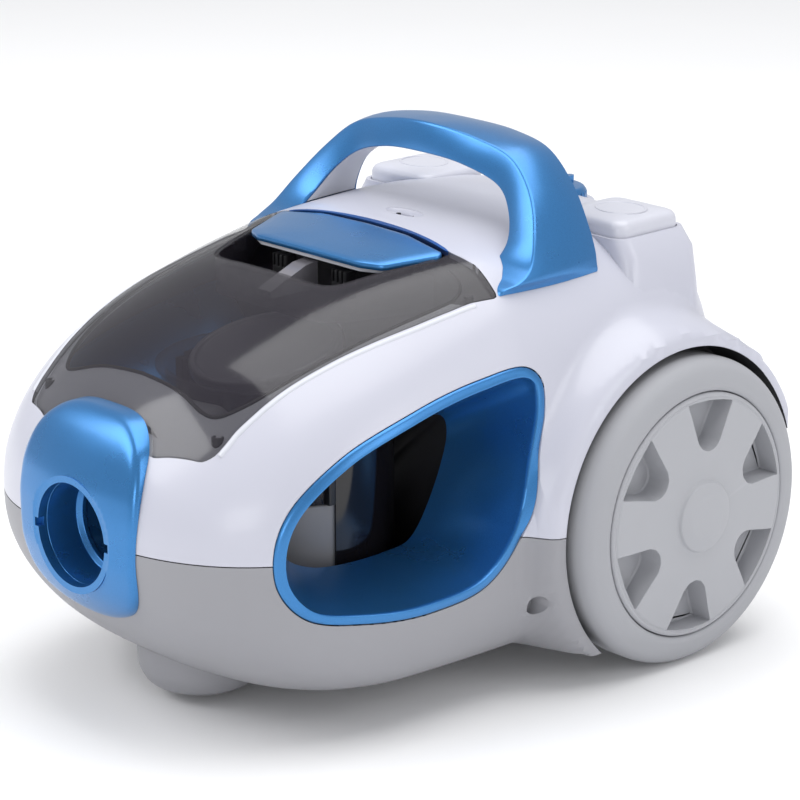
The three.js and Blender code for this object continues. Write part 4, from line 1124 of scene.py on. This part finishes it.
def dial():
    """Fluted knob with a grip bar."""
    low = DIAL_FLOOR_Z + 0.6
    knob = turned("power_dial_skin", softened([
        (0, low), (DIAL_RADIUS, low), (DIAL_RADIUS, low + 4.9), (DIAL_RADIUS - 2, low + 7.6),
        (0, low + 8.4)], 1.2, 4), "z", (0, DIAL_Y, 0), 96)
    for i in range(36):
        angle = i / 36 * 2 * math.pi
        spot = (DIAL_RADIUS * math.cos(angle), DIAL_Y + DIAL_RADIUS * math.sin(angle))
        cut(knob, rod("z", spot, 0.7, low + 0.8, low + 5.4, 10))
    grip = rounded_box(-2.2, 2.2, DIAL_Y - 16, DIAL_Y + 16, 2.1)
    join(knob, prism("grip", grip, "z", low + 4, low + 10.9))
    join(knob, rod("z", (0, DIAL_Y), 3, 201, 216, 32))
    finish_piece(knob, BLUE, "dial", ["power_dial"])


pedal(1, "rewind_button", "rewind_pedal")
pedal(-1, "power_button", "power_pedal")
dial()


# ---------- wheels ----------
def wheel(side):
    """Tyre and dished hub with six pockets."""
    label = side_name(side)
    body = "wheel_" + label
    tread = softened([
        (HUB_RADIUS + 0.5, 115), (72, 115), (78, 117.5), (WHEEL_RADIUS, 123), (WHEEL_RADIUS, 138),
        (79.6, 142.6), (76.5, 145.8), (72, 147.6), (67.5, 148.3), (HUB_RADIUS + 0.5, 147.4)], 2.4, 5)
    tyre = turned("wheel_tyre_skin_" + label, tread * (1, side), "x", WHEEL_CENTRE, 160)
    finish_piece(tyre, TYRE, body, ["wheel_tyre_" + label], 50)
    profile = softened([
        (6.4, 112), (13, 112), (15, 133), (57, 130), (57, 116), (HUB_RADIUS, 116), (HUB_RADIUS, 147.4),
        (62.8, 148.6), (61.8, 148.0), (60.8, 148.9), (40, 150.4), (19.6, 151.2), (18.8, 151.6), (18.2, 153.2),
        (12, 154.7), (0, 155.4), (0, 151), (6.4, 151)], 0.7, 3)
    hub = turned("wheel_hub_skin_" + label, profile * (1, side), "x", WHEEL_CENTRE, 192)
    for i in range(6):
        cut(hub, hub_pocket(side, math.radians(84 - 60 * i)))
    finish_piece(hub, HUB, body, ["wheel_hub_" + label], 32)


def hub_pocket(side, turn):
    """Cutter for one wedge-shaped pocket, turned about the axle."""
    half = [(59.0, 17.2), (60.2, 9), (60.8, 0)]
    inner_end = [(34.0, 0), (35.2, 4.6), (38.5, 8.0), (44, 10.4), (51.5, 13.6)]
    outline = [(r, -w) for r, w in half[:2]] + [(60.8, 0)] + [(r, w) for r, w in reversed(half[:2])]
    outline += [(r, w) for r, w in reversed(inner_end)] + [(r, -w) for r, w in inner_end[1:]]
    outline = rounded_ring(outline, 1.2, 2)
    rings = []
    for x, shrink in ((137.0, 1.6), (137.8, 0.8), (147.0, 0.15), (160.0, 0.0)):
        p = grown(outline, -shrink)
        turned_p = np.stack([
            WHEEL_Y + p[:, 0] * math.cos(turn) - p[:, 1] * math.sin(turn),
            WHEEL_Z + p[:, 0] * math.sin(turn) + p[:, 1] * math.cos(turn)], 1)
        rings.append(placed(turned_p, "x", side * x))
    return loft("pocket", rings)


wheel(1)
wheel(-1)


def caster():
    """Swivelling cup under the nose and its roller."""
    cup = turned("caster_cup_skin", softened([
        (0, 3.5), (20, 4), (28, 8), (32, 15), (CASTER_RADIUS, CASTER_TOP_Z), (5, CASTER_TOP_Z),
        (5, 48), (0, 48)], 3.0, 5), "z", (0, CASTER_Y, 0), 96)
    cut(cup, block(-9, 9, ROLLER_Y - 9.5, ROLLER_Y + 9.5, -5, 17))
    finish_piece(cup, GREY, "caster", ["caster_cup"])
    roller = turned("caster_wheel_skin", softened([
        (2.3, -8), (6, -8), (7.5, -6), (7.5, 6), (6, 8), (2.3, 8)], 0.8), "x", (0, ROLLER_Y, ROLLER_Z), 64)
    finish_piece(roller, RUBBER, "caster_roller", ["caster_wheel"], 40)


caster()


# ---------- grille ----------
def grille():
    """Slotted exhaust panel, cut out of the body's own skin."""
    panel = copy_of(outer, "exhaust_grille_skin")
    cut(panel, inner, keep=True)
    overlap(panel, prism("grille_plan", GRILLE, "y", 150, FAR))
    for i in range(4):
        slat = rounded_box(-42, 42, 107 + i * 9, 112 + i * 9, 2.4)
        cut(panel, prism("slat", slat, "y", 150, 220))
    finish_piece(panel, GREY, "grille", ["exhaust_grille"])


grille()


# ---------- the nodes that are shown as they are ----------
PLAIN_NODES = (
    (RUBBER, ("inlet_seal", "motor_mount_front", "motor_mount_rear", "cord_grommet")),
    (FOAM, ("motor_filter", "exhaust_filter")),
    (ALLOY, ("motor_housing", "motor_impeller")),
    (BLACK, ("reel_brake_lever", "power_switch")),
    (GREY, ("reel_drum",)),
    (BOARD, ("control_board",)),
    # The bulkhead takes the painted shade colour, so the bay behind the container reads dark.
    (PAINTED_SHADE, ("bulkhead",)),
    (STEEL, ("latch_pin", "motor_shaft", "reel_bracket", "brake_lever_pin", "power_pedal_spring",
             "rewind_pedal_spring", "wheel_axle_right", "wheel_axle_left", "axle_clip_right",
             "axle_clip_left", "caster_axle", "base_screw_1", "base_screw_2", "base_screw_3",
             "base_screw_4")))


def soften_edges(node):
    rounding = node.modifiers.new("rounding", "BEVEL")
    rounding.width = 0.4 * MM
    rounding.segments = 2
    rounding.limit_method = "ANGLE"
    rounding.angle_limit = math.radians(50)


def draw_rim_in(node):
    """The fender of the outer shell is a little thinner than its CAD node, so the plate's rim draws in."""
    weld = node.modifiers.new("weld", "WELD")
    weld.merge_threshold = 0.01 * MM
    rim = node.modifiers.new("rim", "DISPLACE")
    rim.mid_level = 0.0
    rim.strength = -1.4 * MM


for node_material, node_names in PLAIN_NODES:
    for node_name in node_names:
        dress(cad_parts[node_name], node_material)
        if node_name == "bulkhead":
            draw_rim_in(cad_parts[node_name])
        elif "spring" not in node_name:
            soften_edges(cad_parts[node_name])

for tool in (outer, inner, shell):
    bpy.data.objects.remove(tool)


# ---------- floor, light and camera ----------
def backdrop():
    """Plain pale floor."""
    n = Nodes("studio_floor")
    tone = n.ranged(n.noise(2.0, 3.0), 0.0, 1.0)
    n.link(n.mixed(tone, (0.90, 0.90, 0.905, 1), (0.92, 0.92, 0.925, 1)), n.shader.inputs["Base Color"])
    n.bump(n.noise(60.0, 3.0), 0.1, 0.0002)
    n.constants({"Roughness": 0.85})
    half = 6000.0
    corners = [(-half, -half, 0), (half, -half, 0), (half, half, 0), (-half, half, 0)]
    floor = new_object("studio_floor", corners, [(0, 1, 2, 3)], smooth=False)
    floor.data.materials.append(n.material)


def aimed(name, data, place, direction):
    """Lamp or camera at a place, looking along a direction."""
    holder = bpy.data.objects.new(name, data)
    holder.location = place
    holder.rotation_mode = "QUATERNION"
    holder.rotation_quaternion = direction.to_track_quat("-Z", "Y")
    bpy.context.scene.collection.objects.link(holder)
    return holder


def area_light(name, place, target, size, power):
    data = bpy.data.lights.new(name, "AREA")
    data.shape = "RECTANGLE"
    data.size, data.size_y = size
    data.energy = power
    aimed(name, data, place, Vector(target) - Vector(place))


def studio():
    """Soft light from large panels under a pale sky."""
    world = bpy.data.worlds.new("studio")
    world.use_nodes = True
    sky = world.node_tree.nodes["Background"]
    sky.inputs["Color"].default_value = (0.97, 0.98, 1.0, 1)
    sky.inputs["Strength"].default_value = 0.6
    scene = bpy.context.scene
    scene.world = world
    scene.view_settings.view_transform = "Standard"
    middle = (0, 0, 0.12)
    area_light("key", (-1.1, -1.5, 1.7), middle, (1.6, 1.2), 23)
    area_light("front", (1.5, -1.9, 0.55), middle, (0.9, 0.7), 7)
    area_light("top", (0.1, 0.4, 2.3), middle, (2.4, 2.0), 42)
    area_light("side", (2.2, 0.7, 1.0), middle, (1.0, 1.4), 9)


def camera():
    """Camera in front of the right side, a little above the handle."""
    azimuth, elevation = math.radians(46.85), math.radians(17.12)
    back = Vector((math.sin(azimuth) * math.cos(elevation), -math.cos(azimuth) * math.cos(elevation),
                   math.sin(elevation)))
    data = bpy.data.cameras.new("camera")
    data.sensor_width = 36.0
    data.lens = 142.515
    data.clip_start, data.clip_end = 0.05, 50
    bpy.context.scene.camera = aimed("camera", data, (1.15974, -1.05351, 0.61392), -back)


backdrop()
studio()
camera()
